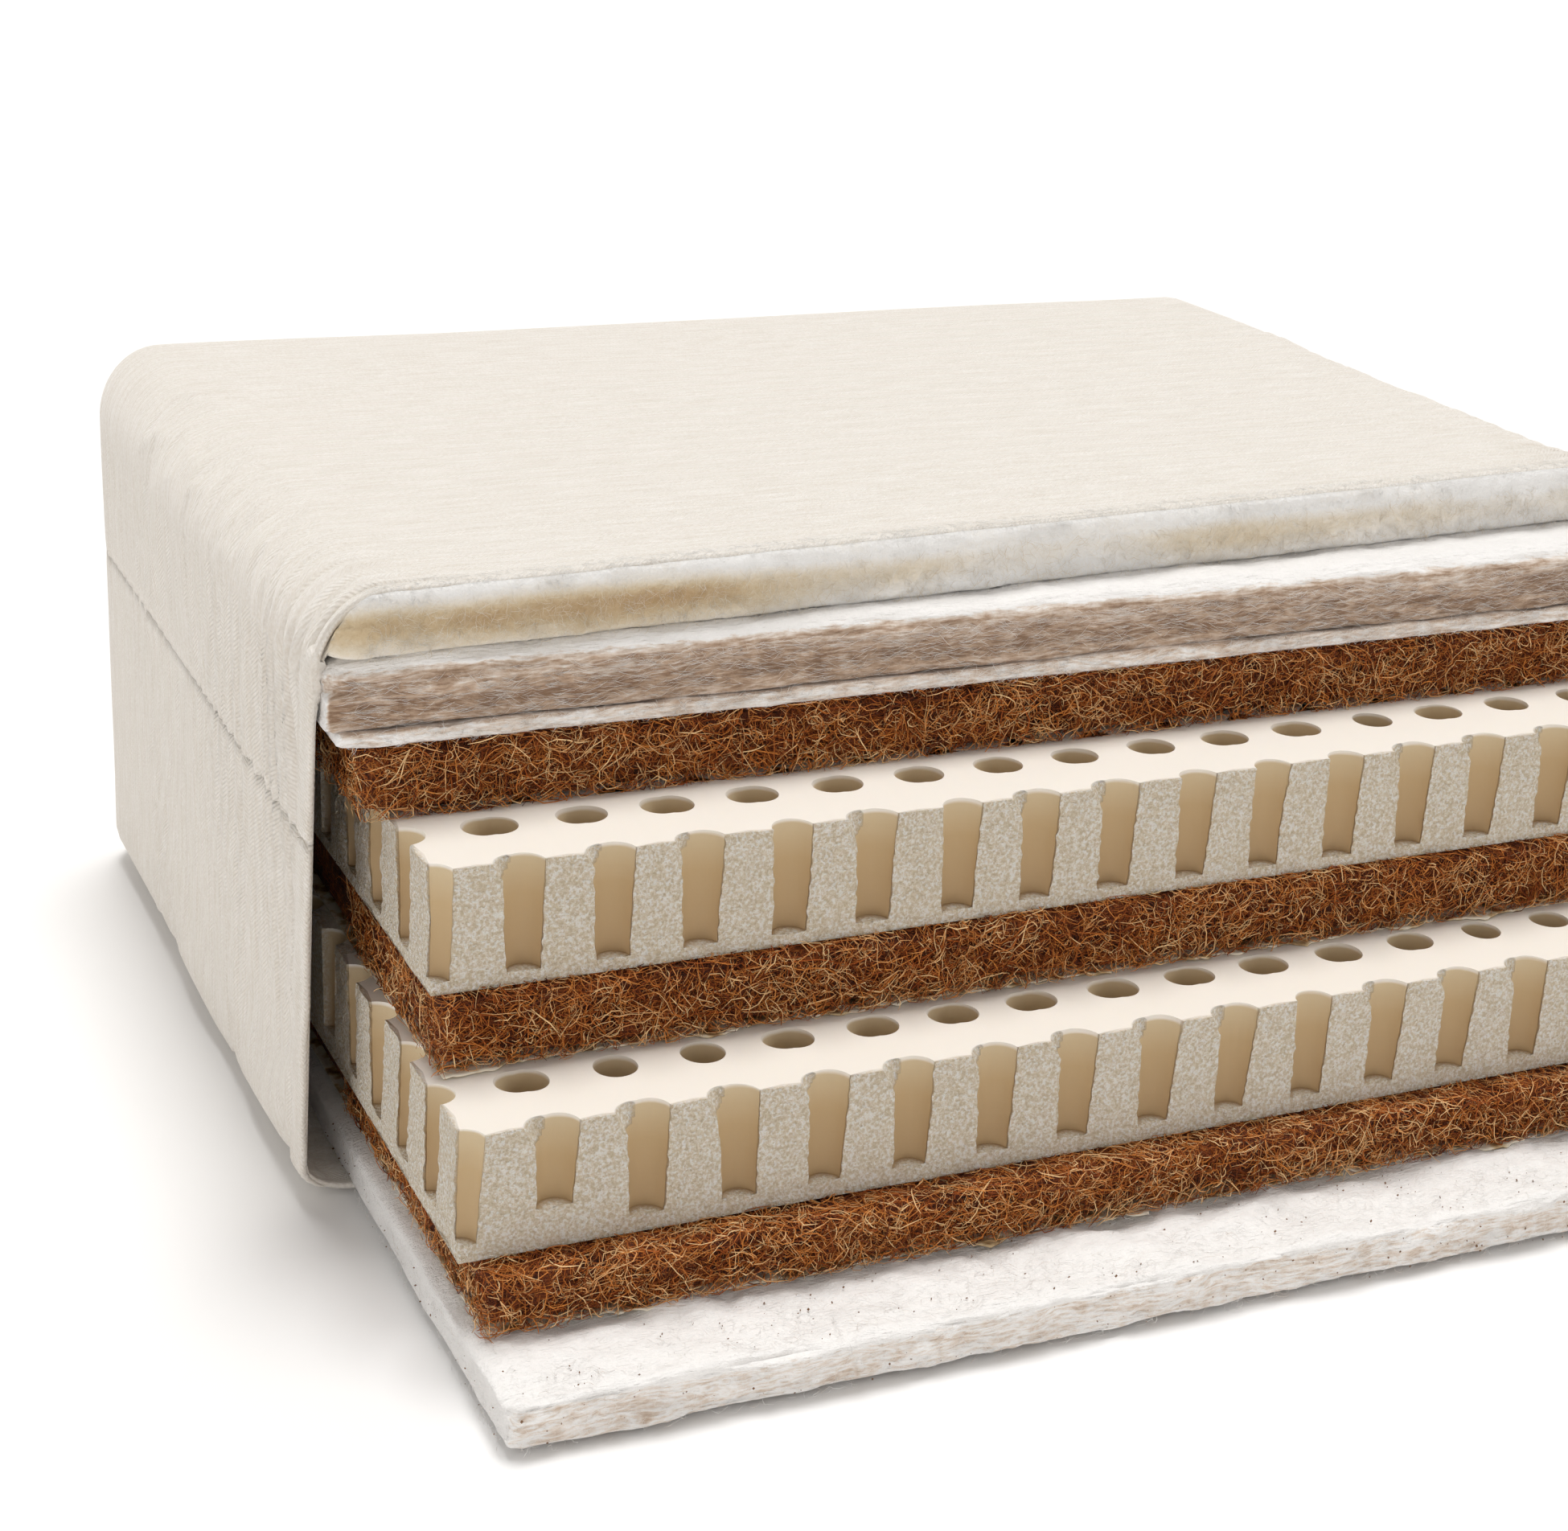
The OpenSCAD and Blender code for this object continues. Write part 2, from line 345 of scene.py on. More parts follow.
def dress(tree, surface, colour, relief=None):
    """Leads a colour, and the last bump of a chain, into the surface."""
    tree.links.new(colour, surface.inputs["Base Color"])
    if relief:
        tree.links.new(relief.outputs[0], surface.inputs["Normal"])


def herringbone_cotton(look):
    """Unbleached cotton ticking, woven in herringbone twill and brushed: matt, warm white, with
    zigzag ribs. Real ribs are 0.8 mm apart; they are drawn 1.6 mm apart so that they show."""
    material, tree, surface = new_material(
        "Unbleached herringbone cotton", 0.92, look.cloth_colour,
        Sheen_Weight=0.2, Sheen_Roughness=0.5,
    )
    rib, column = 0.0016, 0.0065
    place_in = add(tree, "TexCoord").outputs["Object"]
    cloth = add(tree, "UVMap", {"uv_map": "Cloth"})
    axes = add(tree, "SeparateXYZ", Vector=cloth)
    zigzag = add(tree, "Math", {"operation": "PINGPONG"}, n0=axes.outputs[0], n1=column)
    phase = add(tree, "Math", {"operation": "ADD"}, n0=axes.outputs[1], n1=zigzag)
    turns = add(tree, "Math", {"operation": "MULTIPLY"}, n0=phase, n1=2 * math.pi / rib)
    ribs = add(tree, "Math", {"operation": "SINE"}, n0=turns)
    fuzz = add(tree, "TexNoise", Vector=place_in, Scale=900.0, Detail=3.0)
    threads = add(tree, "Mapping", Vector=cloth, Scale=(700, 45, 1))
    slubs = add(tree, "TexNoise", Vector=threads, Scale=1.0, Detail=3.0)
    tone = add(tree, "Math", {"operation": "ADD"}, n0=slubs, n1=fuzz)
    colour = add(tree, "MapRange", Value=tone, From_Min=0.5, From_Max=1.3)
    mix = add(
        tree, "Mix", {"data_type": "RGBA"},
        n0=colour.outputs[0], n6=look.cloth_shade, n7=look.cloth_colour,
    )
    woven = add(tree, "Bump", Height=ribs, Distance=0.00012, Strength=0.7)
    brushed = add(tree, "Bump", Height=fuzz, Distance=0.00025, Strength=0.5, Normal=woven)
    dress(tree, surface, mix.outputs[2], brushed)
    return material


def raw_wool_fleece(look):
    """Needled sheep's wool, gold in its depth and cream to white where fibres stand up: very
    matt and cloudy. Clouds are 10 to 35 mm across and the curl of the fibres 2 mm."""
    material, tree, surface = new_material(
        "Raw wool fleece", 1.0, look.wool_colour, Sheen_Weight=0.5, Sheen_Roughness=0.6
    )
    place_in = add(tree, "TexCoord").outputs["Object"]
    wide = add(tree, "Mapping", Vector=place_in, Scale=(30, 60, 90))
    clouds = add(tree, "TexNoise", Vector=wide, Scale=1.0, Detail=5.0)
    curl = add(tree, "TexNoise", Vector=place_in, Scale=480.0, Detail=5.0, Roughness=0.7)
    pale = add(tree, "Attribute", {"attribute_name": "shade"})
    a = add(tree, "Math", {"operation": "MULTIPLY_ADD"}, n0=clouds, n1=0.6, n2=pale.outputs["Fac"])
    b = add(tree, "Math", {"operation": "MULTIPLY_ADD"}, n0=curl, n1=0.45, n2=a)
    # The sum runs from about 0.4 to 1.9.
    tone = add(tree, "MapRange", Value=b, From_Min=0.45, From_Max=1.65)
    ramp = add(tree, "ValToRGB", {"stops": [
        (0.02, "#C3A173"), (0.22, "#DCC49C"), (0.44, look.wool_colour), (0.66, "#F9F2E7"),
        (0.90, "#FEFCF9"),
    ]}, Fac=tone.outputs[0])
    relief = add(tree, "Bump", Height=curl, Distance=0.0016, Strength=0.8)
    dress(tree, surface, ramp.outputs[0], relief)
    return material


def carded_cotton(look):
    """Carded cotton batting: white webs laid flat on each other. A cut face shows silky level
    streaks 8 mm long and 1 mm high with painted grey-brown shade between; the top is plain
    white, painted lit, and the front is painted in shade, as the shade attribute sets."""
    material, tree, surface = new_material(
        "Carded cotton batting", 1.0, look.cotton_colour, Sheen_Weight=0.4, Sheen_Roughness=0.5
    )
    place_in = add(tree, "TexCoord").outputs["Object"]
    sway = add(tree, "TexNoise", Vector=place_in, Scale=45.0, Detail=1.0)
    bent = add(
        tree, "VectorMath", {"operation": "MULTIPLY_ADD"},
        n0=sway.outputs["Color"], n1=(0.004, 0.004, 0.006), n2=place_in,
    )
    combed = add(tree, "Mapping", Vector=bent, Scale=(130, 800, 1000))
    streaks = add(tree, "TexNoise", Vector=combed, Scale=1.0, Detail=4.0, Roughness=0.6)
    tufts = add(tree, "TexNoise", Vector=place_in, Scale=190.0, Detail=4.0, Roughness=0.65)
    pale = add(tree, "Attribute", {"attribute_name": "shade"})
    a = add(
        tree, "Math", {"operation": "MULTIPLY_ADD"}, n0=streaks, n1=1.1, n2=pale.outputs["Fac"]
    )
    b = add(tree, "Math", {"operation": "MULTIPLY_ADD"}, n0=tufts, n1=0.5, n2=a)
    tone = add(tree, "MapRange", Value=b, From_Min=0.75, From_Max=1.75)
    # The darkest stops are painted shade, between the streaks and on the shaded front.
    ramp = add(tree, "ValToRGB", {"stops": [
        (0.02, "#93745B"), (0.26, "#C4A890"), (0.50, "#EBDDD0"), (0.68, look.cotton_colour),
    ]}, Fac=tone.outputs[0])
    first = add(tree, "Bump", Height=streaks, Distance=0.0012, Strength=0.8)
    both = add(tree, "Bump", Height=tufts, Distance=0.0016, Strength=0.7, Normal=first)
    dress(tree, surface, ramp.outputs[0], both)
    return material


def cotton_seed_husk(look):
    """Bits of seed husk left in the batting: small, brown and slightly glossy."""
    return new_material("Cotton seed husk", 0.6, look.husk_colour)[0]


def coir_mat(look):
    """Body of a rubberised coir pad under its loose fibres: matted coconut fibre with painted
    shade in the gaps of its depth, crossed by strands 0.7 mm thick that lie in every direction."""
    material, tree, surface = new_material("Matted coconut fibre", 0.85, look.coir_colour)
    place_in = add(tree, "TexCoord").outputs["Object"]
    strands = None
    for turn, stretch in (
        ((0.3, 0.2, 0.5), (140, 1500, 1500)),
        ((0.1, 0.9, 0.2), (160, 1500, 1300)),
        ((0.4, -0.7, 0.9), (1400, 170, 1500)),
        ((1.1, 0.5, -0.4), (1500, 1300, 150)),
    ):
        laid = add(tree, "Mapping", Vector=place_in, Scale=stretch, Rotation=turn)
        layer = add(tree, "TexNoise", Vector=laid, Scale=1.0, Detail=2.0)
        strands = add(tree, "Math", {"operation": "MAXIMUM"}, n0=layer, n1=strands or layer)
    patches = add(tree, "TexNoise", Vector=place_in, Scale=70.0, Detail=3.0)
    tone = add(tree, "Math", {"operation": "MULTIPLY_ADD"}, n0=patches, n1=0.35, n2=strands)
    # The dark stops are painted shade in the gaps between the strands.
    ramp = add(tree, "ValToRGB", {"stops": [
        (0.62, "#260E03"), (0.76, "#682D0B"), (0.88, look.coir_colour), (0.98, "#D89048"),
    ]}, Fac=tone)
    relief = add(tree, "Bump", Height=strands, Distance=0.0016)
    dress(tree, surface, ramp.outputs[0], relief)
    return material


def coir_strand(look):
    """Single coconut fibres in a thin coat of latex: wiry, from dark red-brown to straw, with a
    faint gloss along each one."""
    material, tree, surface = new_material(
        "Coconut fibre strand", 0.6, look.strand_colour, Specular_IOR_Level=0.3
    )
    tint = add(tree, "Attribute", {"attribute_name": "shade"})
    ramp = add(tree, "ValToRGB", {"stops": [
        (0.0, "#582306"), (0.3, "#AE581B"), (0.6, look.strand_colour), (1.0, "#FCD49C"),
    ]}, Fac=tint.outputs["Fac"])
    dress(tree, surface, ramp.outputs[0])
    return material


def latex_foam(look):
    """Moulded natural latex foam: ivory, matt and faintly see-through. Moulded skin is smooth
    with rings from the mould's pins; a cut face shows crumbs of open cells 1.5 mm across."""
    material, tree, surface = new_material(
        "Moulded latex foam", 0.75, look.latex_colour,
        Subsurface_Weight=0.12, Subsurface_Scale=0.0015, Subsurface_Radius=(1.0, 0.8, 0.5),
    )
    place_in = add(tree, "TexCoord").outputs["Object"]
    # `cut` is 1 on cut faces and torn notches, and on the hole floors, which are painted lit.
    cut = add(tree, "Attribute", {"attribute_name": "shade"}).outputs["Fac"]
    depth = add(tree, "Attribute", {"attribute_name": "depth"}).outputs["Fac"]
    crumbs = add(tree, "TexNoise", Vector=place_in, Scale=900.0, Detail=3.0, Roughness=0.65)
    grain = add(tree, "TexNoise", Vector=place_in, Scale=2200.0, Detail=2.0)
    level = add(tree, "Mapping", Vector=place_in, Scale=(30, 30, 330))
    rings = add(tree, "TexNoise", Vector=level, Scale=1.0, Detail=3.0)
    relief = add(tree, "Math", {"operation": "MULTIPLY"}, n0=crumbs, n1=cut)
    deeper = add(tree, "Math", {"operation": "MULTIPLY_ADD"}, n0=rings, n1=0.06, n2=depth)
    # The moulded skin darkens from the top down into the holes: partly the skin's own yellower colour
    # there, partly painted shade in the holes.
    skin = add(tree, "ValToRGB", {"stops": [
        (0.045, "#FBF5EC"), (0.07, "#DECAA6"), (0.35, "#CFB48A"), (1.0, "#BFA27A"),
    ]}, Fac=deeper)
    crumb = add(tree, "ValToRGB", {"stops": [
        (0.36, "#DDCDB0"), (0.50, "#F0E4D0"), (0.60, "#FFFCF5"),
    ]}, Fac=crumbs)
    mix = add(
        tree, "Mix", {"data_type": "RGBA"}, n0=cut, n6=skin.outputs[0], n7=crumb.outputs[0]
    )
    lit = add(
        tree, "Mix", {"data_type": "RGBA", "blend_type": "MULTIPLY"},
        n0=1.0, n6=mix.outputs[2], n7=look.latex_colour,
    )
    first = add(tree, "Bump", Height=relief, Distance=0.0022, Strength=1.0)
    second = add(tree, "Bump", Height=rings, Distance=0.0003, Strength=0.5, Normal=first)
    third = add(tree, "Bump", Height=grain, Distance=0.0001, Strength=0.5, Normal=second)
    dress(tree, surface, lit.outputs[2], third)
    return material


def dried_latex_glue(look):
    """Film of latex glue dried in the open: thin, torn, cream, stained brown by the fibres it
    soaked into, in blots 8 mm across."""
    material, tree, surface = new_material("Dried latex glue", 0.55, look.film_colour)
    place_in = add(tree, "TexCoord").outputs["Object"]
    blots = add(tree, "TexNoise", Vector=place_in, Scale=120.0, Detail=4.0)
    stained = add(tree, "ValToRGB", {"stops": [
        (0.34, "#8E663C"), (0.45, "#D2B88C"), (0.53, look.film_colour),
    ]}, Fac=blots)
    relief = add(tree, "Bump", Height=blots, Distance=0.0008, Strength=0.6)
    dress(tree, surface, stained.outputs[0], relief)
    return material


def painted_floor(look):
    """Matt emulsion paint on a smooth board: plain and pale, with no pattern."""
    return new_material("Matt white paint", 0.9, look.floor_colour)[0]


# --- Sizes and colours a user may change ---


def colour_setting(name, description, default):
    """A colour that a user may change, given as sRGB hex."""
    return bpy.props.FloatVectorProperty(
        name=name, description=description, default=linear(default), subtype="COLOR", size=4,
        min=0.0, max=1.0,
    )


def length_setting(name, description, default, low, high):
    """A length that a user may change, in metres."""
    return bpy.props.FloatProperty(
        name=name, description=description, default=default, min=low, max=high, unit="LENGTH",
    )


class MattressLooks(bpy.types.PropertyGroup):
    """Colours of the layers."""

    cloth_colour: colour_setting("Cover", "Lit threads of the ticking", "#F2EDE6")
    cloth_shade: colour_setting("Cover, in shade", "Threads between the ribs", "#DCD2C4")
    wool_colour: colour_setting("Wool", "Middle tone of the fleece", "#EFE1C9")
    cotton_colour: colour_setting("Cotton", "Lit tufts of the batting", "#FEFBF8")
    husk_colour: colour_setting("Seed husk", "Specks in the batting", "#7A5636")
    coir_colour: colour_setting("Coir mat", "Middle tone of the matted fibre", "#AA5A1D")
    strand_colour: colour_setting("Coir strand", "Middle tone of the loose strands", "#DC8C40")
    latex_colour: colour_setting("Latex", "Tint over the whole foam", "#F6F4F2")
    film_colour: colour_setting("Glue", "Clean film under the coir pads", "#F6ECD8")
    floor_colour: colour_setting("Floor", "Floor under the block", "#FAF9F8")


class MattressSizes(bpy.types.PropertyGroup):
    """Sizes of the details that are finer than the CAD layers."""

    pin_pitch: length_setting(
        "Pin pitch", "Distance between pin holes in the latex", 0.030, 0.02, 0.05)
    pin_top: length_setting(
        "Pin hole at its mouth", "Radius of a pin hole at the top of a slab", 0.0072, 0.004, 0.01)
    pin_foot: length_setting(
        "Pin hole at its floor", "Radius of a pin hole at its closed end", 0.0058, 0.003, 0.01)
    fold_pitch: length_setting(
        "Fold spacing", "Distance between the soft folds of the cover", 0.0105, 0.004, 0.03)
    fold_height: length_setting(
        "Fold height", "Height of a soft fold of the cover", 0.0062, 0.0, 0.01)
    strand_radius: length_setting(
        "Coir strand", "Radius of one coconut fibre", 0.00018, 0.00005, 0.0005)
    strand_cover: bpy.props.FloatProperty(
        name="Coir cover", description="How many times over the strands cover a pad's face",
        default=1.8, min=0.2, max=5.0,
    )


def looks():
    return bpy.context.scene.mattress_looks


def sizes():
    return bpy.context.scene.mattress_sizes


# --- Cover ---

FRONT_WOOL = -97.5
COVER_BACKSET = 3.0
COVER_TOP = 224.0
COVER_HALF = 262.0
COVER_BACK = 246.5
SEAM_Z = 138.0
HEM_WIDTH = 13.0
CLOTH = 1.6
TAPE = 0.8
# The share by which the cover's side walls are longer than the room they have, and the frames
# that the cloth solver runs.
SPARE_CLOTH, SOLVER_FRAMES = 0.012, 10
# How far the solver may put a point inside, outside and beside the place it started from (mm).
SINK, BULGE, SLIDE = 0.5, 2.6, 1.5


def cut_y(x, z):
    """Y of the front cut at a place on the cover: a plane that turns by CUT_TURN about the
    upright axis and leans back by CUT_LEAN towards the foot."""
    return FRONT_WOOL + COVER_BACKSET + x * TURN_SLOPE + (COVER_TOP - z) * LEAN_SLOPE


def fold_lift(points, seed):
    """Soft parallel folds: |sin| waves in Y, so crests are round and creases sharp, whose
    phase drifts slowly. They are faint ridges on the top, deep where the cloth turns over the
    edge near the front, and die out down the wall."""
    s = sizes()
    height, pitch = s.fold_height / MM, s.fold_pitch / MM
    x, y, z = points.T
    behind = y - cut_y(x, z)
    turned = ease(205, 250, np.abs(x)) * ease(120, 190, z)
    wall = ease(COVER_TOP - 8, COVER_TOP - 40, z) * ease(10, 150, z)
    front = ease(170, 8, behind)
    near = ease(75, 6, behind)
    drift = 1.5 * cell_noise(points * (0.4, 1, 0.2), (80, 50, 90), seed)
    drift = drift + 0.25 * cell_noise(points, (40, 20, 60), seed + 2)
    wide = np.abs(np.sin(math.pi * (y / pitch + drift))) ** 1.2 - 0.6
    fine = np.abs(np.sin(math.pi * (y / (pitch * 0.42) + 1.6 * drift))) - 0.6
    patch = 0.6 + 0.4 * cell_noise(points, (80, 40, 70), seed + 5)
    top = (1 - ease(COVER_TOP - 3, COVER_TOP - 20, z)) * (0.25 + 0.75 * front)
    size = 0.085 * top + wall * (0.22 + 0.78 * front) + 0.95 * turned * near
    return height * patch * (size * wide + 0.35 * (size + 0.14 * top) * fine)


def settle(obj, held, out, spare, frames):
    """Lets cloth buckle in the room it has: its threads are longer than that room by the share
    `spare`, and the cloth solver throws the spare length into folds while the `held` points
    stay put. A point ends at most SINK inside and BULGE outside the place it started from."""
    mesh = obj.data
    start = np.empty(len(mesh.vertices) * 3, np.float32)
    end = start.copy()
    mesh.vertices.foreach_get("co", start)
    obj.vertex_groups.new(name="Held").add(np.flatnonzero(held).tolist(), 1.0, "REPLACE")
    cloth = obj.modifiers.new("Cloth", "CLOTH")
    rule = cloth.settings
    rule.vertex_group_mass = "Held"
    rule.shrink_min = rule.shrink_max = -spare
    rule.quality = 5
    rule.mass = 0.2
    rule.tension_stiffness = rule.compression_stiffness = 20
    rule.bending_stiffness = 0.6
    rule.effector_weights.gravity = 0
    cloth.collision_settings.use_collision = False
    cloth.point_cache.frame_start, cloth.point_cache.frame_end = 1, frames
    scene = bpy.context.scene
    for frame_number in range(1, frames + 1):
        scene.frame_set(frame_number)
    settled = obj.evaluated_get(bpy.context.evaluated_depsgraph_get()).data
    settled.vertices.foreach_get("co", end)
    moved = (end - start).reshape(-1, 3) / MM
    obj.modifiers.remove(cloth)
    scene.frame_set(1)
    lift = (moved * out).sum(-1, keepdims=True)
    slide = np.clip(moved - out * lift, -SLIDE, SLIDE)
    final = start.reshape(-1, 3) + (out * np.clip(lift, -SINK, BULGE) + slide) * MM
    final[:, 2] = np.maximum(final[:, 2], 0.0)
    mesh.vertices.foreach_set("co", final.astype(np.float32).ravel())
    mesh.update()


def cloth_uv(points):
    """The cloth laid flat, in metres: Y and X on the top, with the length down the side walls
    added to X, and the length down the back wall added to Y."""
    x, y, z = points.T
    down = np.maximum(0, COVER_TOP - COVER_R[2] - z)
    past_side = np.abs(x) - (COVER_HALF - COVER_R[0])
    past_back = y - (COVER_BACK - COVER_R[1])
    at_side = (past_side > 0) & (past_side > past_back)
    at_back = (past_back > 0) & ~at_side
    return np.stack([y + down * at_back, np.sign(x) * (np.abs(x) + down * at_side)], -1) * MM


def cover_half(name, z0, z1, leave_out, seed):
    """One half of the cover: a rounded box skin, open in front and at the seam, whose front
    edge is drawn to the leaning cut, with folds raised along its outward directions."""
    reach = FRONT_WOOL - 30
    low = np.array([-COVER_HALF, reach, 0.2])
    high = np.array([COVER_HALF, COVER_BACK, COVER_TOP])
    edge, shoulder = 34, 186
    xs = graded((low[0], low[0] + edge, 3.4), (low[0] + edge, high[0] - edge, 7),
                (high[0] - edge, high[0], 3.4))
    ys = graded((low[1], -40, 1.35), (-40, 60, 2.2), (60, 210, 4.0), (210, high[1], 3.6))
    zs = graded((z0, shoulder, 5), (shoulder, z1, 3.4)) if z1 > shoulder else steps(z0, z1, 5)
    points, quads = box_grid(xs, ys, zs, leave_out)
    # The rounding box runs far past the opening, so that the opening itself stays square.
    points, out = round_off(points, low - (0, 300, 0), high, COVER_R, COVER_FOOT_R)
    t = (points[:, 1] - low[1]) / (high[1] - low[1])
    start = cut_y(points[:, 0], points[:, 2]) + 1.0
    points[:, 1] += (start - low[1]) * (1 - t)
    uv = cloth_uv(points)
    behind = points[:, 1] - cut_y(points[:, 0], points[:, 2])
    side = ease(200, 180, points[:, 2])
    calm = 1 - side * (1 - ease(9, 24, behind))
    lift = fold_lift(points, seed)
    lift += 1.0 * cell_noise(points, (110, 80, 60), seed + 9) * ease(5, 40, points[:, 2])
    lift = lift * calm
    lift -= 0.3 * np.exp(-(((points[:, 2] - SEAM_Z) / 2.2) ** 2)) * calm
    points = points + out * (lift[:, None] - 0.5)
    points[:, 2] = np.maximum(points[:, 2], 0.0)
    obj = link_mesh(name, points, quads, uv=uv)
    seam = np.abs(points[:, 2] - SEAM_Z) < 1.5
    flat = (np.abs(points[:, 0]) < COVER_HALF - COVER_R[0]) | (points[:, 1] > 150)
    held = seam | flat | (behind < 4) | (points[:, 2] < 1.5)
    settle(obj, held, out, SPARE_CLOTH, SOLVER_FRAMES)
    return thicken(obj, CLOTH, -1)


def thicken(obj, thickness, side):
    """Gives a sheet its thickness in mm, laid to its inner side (-1) or its outer side (1)."""
    skin = obj.modifiers.new("Thickness", "SOLIDIFY")
    skin.thickness, skin.offset = thickness * MM, side
    return obj


def ring_faces(rings):
    """Quads between rings of points carried along a path, turned to look outwards."""
    rows, ring = rings.shape[:2]
    ids = np.arange(rows * ring).reshape(rows, ring)
    nxt = np.roll(ids, -1, axis=1)
    quads = np.stack([ids[:-1], nxt[:-1], nxt[1:], ids[1:]], -1).reshape(-1, 4)
    a, b = rings[rows // 2], rings[rows // 2 + 1]
    inwards = np.dot(np.cross(a[1] - a[0], b[0] - a[0]), a[0] - a.mean(0)) < 0
    return quads[:, ::-1] if inwards else quads


def closing(rows, sharpness):
    """1 along a band and 0 at its two ends: the square root of 1 - |t| to a high power."""
    return np.sqrt(np.maximum(0, 1 - np.abs(np.linspace(-1, 1, rows)) ** sharpness))


def round_section(count, power):
    """Cosine and sine round a squarish oval: each raised to `power` with its sign kept."""
    angle = np.linspace(0, 2 * math.pi, count, endpoint=False)
    cos, sin = np.cos(angle), np.sin(angle)
    return np.sign(cos) * np.abs(cos) ** power, np.sign(sin) * np.abs(sin) ** power, angle


def side_hem(name, side, z0, z1, seed):
    """Hem down one side of the cut: a flat oval section, HEM_WIDTH wide and 3.4 mm thick,
    carried down the leaning edge, quilted by the herringbone and closed at its ends."""
    rows, ring, thick = int((z1 - z0) / 1.0), 36, 1.7
    z = np.linspace(z0, z1, rows)
    rise = np.clip((z - (COVER_TOP - COVER_R[2])) / COVER_R[2], 0, 1)
    foot = np.clip((COVER_FOOT_R[2] - z) / COVER_FOOT_R[2], 0, 1)
    bend = COVER_R[0] * (1 - np.sqrt(1 - rise**2)) + COVER_FOOT_R[0] * (1 - np.sqrt(1 - foot**2))
    x = side * (COVER_HALF - 0.6 - bend)
    wander = 0.5 * cell_noise(np.stack([z, z * 0, z * 0], -1), (18, 1, 1), seed)
    path = np.stack([x, cut_y(x, z) + HEM_WIDTH / 2 + wander, z], -1)
    cos, sin, angle = round_section(ring, 0.7)
    close = closing(rows, 60)
    along = cos[None, :] * HEM_WIDTH / 2 * close[:, None]
    outwards = sin[None, :] * thick * close[:, None]
    # Herringbone raised on the hem: ribs 2.6 mm apart that turn at the middle of the band.
    ribs = np.sin(2 * math.pi * (z[:, None] - 0.8 * np.abs(along)) / 2.6)
    outwards = outwards + 0.22 * ribs * np.sign(sin)[None, :] * close[:, None]
    grid = path[:, None, :] + np.stack([side * outwards, along, along * 0], -1)
    grid[..., 0] += side * 0.35 * cell_noise(grid, (9, 9, 16), seed + 3)
    uv = np.stack(np.broadcast_arrays((angle * 2.1)[None, :], z[:, None]), -1).reshape(-1, 2)
    return link_mesh(name, grid.reshape(-1, 3), ring_faces(grid), uv=uv * MM)


def top_hem(name, seed):
    """Turned edge over the top: a thin oval section carried from one side, round the corner,
    over the top and down to the other, wandering by 1 mm."""
    rx, _, rz = COVER_R
    corner = np.linspace(0, math.pi / 2, 22)
    bend = np.stack([-COVER_HALF + rx * (1 - np.cos(corner)),
                     COVER_TOP - rz + rz * np.sin(corner)], -1)
    level_x = np.linspace(-COVER_HALF + rx, COVER_HALF - rx, 160)[1:-1]
    level = np.stack([level_x, np.full(len(level_x), COVER_TOP)], -1)
    line = np.concatenate([bend, level, bend[::-1] * (-1, 1)])
    lean = np.concatenate([np.cos(corner), level_x * 0, np.cos(corner)[::-1]])
    out = np.stack([np.sign(line[:, 0]) * lean, lean * 0, np.sqrt(1 - lean**2)], -1)
    flat = np.stack([line[:, 0], line[:, 0] * 0, line[:, 1]], -1)
    path = flat + 0
    path[:, 1] = cut_y(line[:, 0], line[:, 1]) + 3.0 + 0.9 * cell_noise(flat, (24, 1, 24), seed)
    cos, sin, _ = round_section(18, 0.8)
    close = closing(len(line), 200)[:, None, None]
    grid = (
        path[:, None, :]
        + np.array([0.0, 1.0, 0.0]) * cos[None, :, None] * 2.9 * close
        + out[:, None, :] * (sin[None, :, None] * 1.15 * close - 1.15)
    )
    run = np.concatenate([[0], np.cumsum(np.linalg.norm(np.diff(path, axis=0), axis=1))])
    uv = np.stack(np.broadcast_arrays((cos * 2.9)[None, :], run[:, None]), -1).reshape(-1, 2)
    return link_mesh(name, grid.reshape(-1, 3), ring_faces(grid), uv=uv * MM)


def seam_tape(name):
    """Flat tape behind the seam: a strip 11.6 mm high carried round both sides and the back,
    with quarter-circle corners."""
    r, half, back = 23.0, COVER_HALF - 2.4, COVER_BACK - 2.4
    corner = np.linspace(0, math.pi / 2, 12)
    setback = COVER_BACKSET + HEM_WIDTH
    y0 = float(cut_y(-half, SEAM_Z)) + setback
    y1 = float(cut_y(half, SEAM_Z)) + setback
    left = np.stack([np.full(40, -half), np.linspace(y0, back - r, 40)], -1)
    arc = np.stack([-half + r * (1 - np.cos(corner)), back - r + r * np.sin(corner)], -1)
    mid = np.stack([np.linspace(-half + r, half - r, 50)[1:-1], np.full(48, back)], -1)
    right = np.stack([np.full(40, half), np.linspace(back - r, y1, 40)], -1)
    line = np.concatenate([left, arc[1:], mid, arc[::-1] * (-1, 1), right[1:]])
    z = np.array([SEAM_Z - 5.8, SEAM_Z + 5.8])
    grid = np.concatenate([
        np.broadcast_to(line[:, None, :], (len(line), 2, 2)),
        np.broadcast_to(z[None, :, None], (len(line), 2, 1)),
    ], -1)
    run = np.concatenate([[0], np.cumsum(np.linalg.norm(np.diff(line, axis=0), axis=1))])
    uv = np.stack(np.broadcast_arrays(run[:, None], z[None, :]), -1).reshape(-1, 2)
    obj = link_mesh(name, grid.reshape(-1, 3), grid_faces(len(line), 2, True), uv=uv * MM)
    return thicken(obj, TAPE, 1)


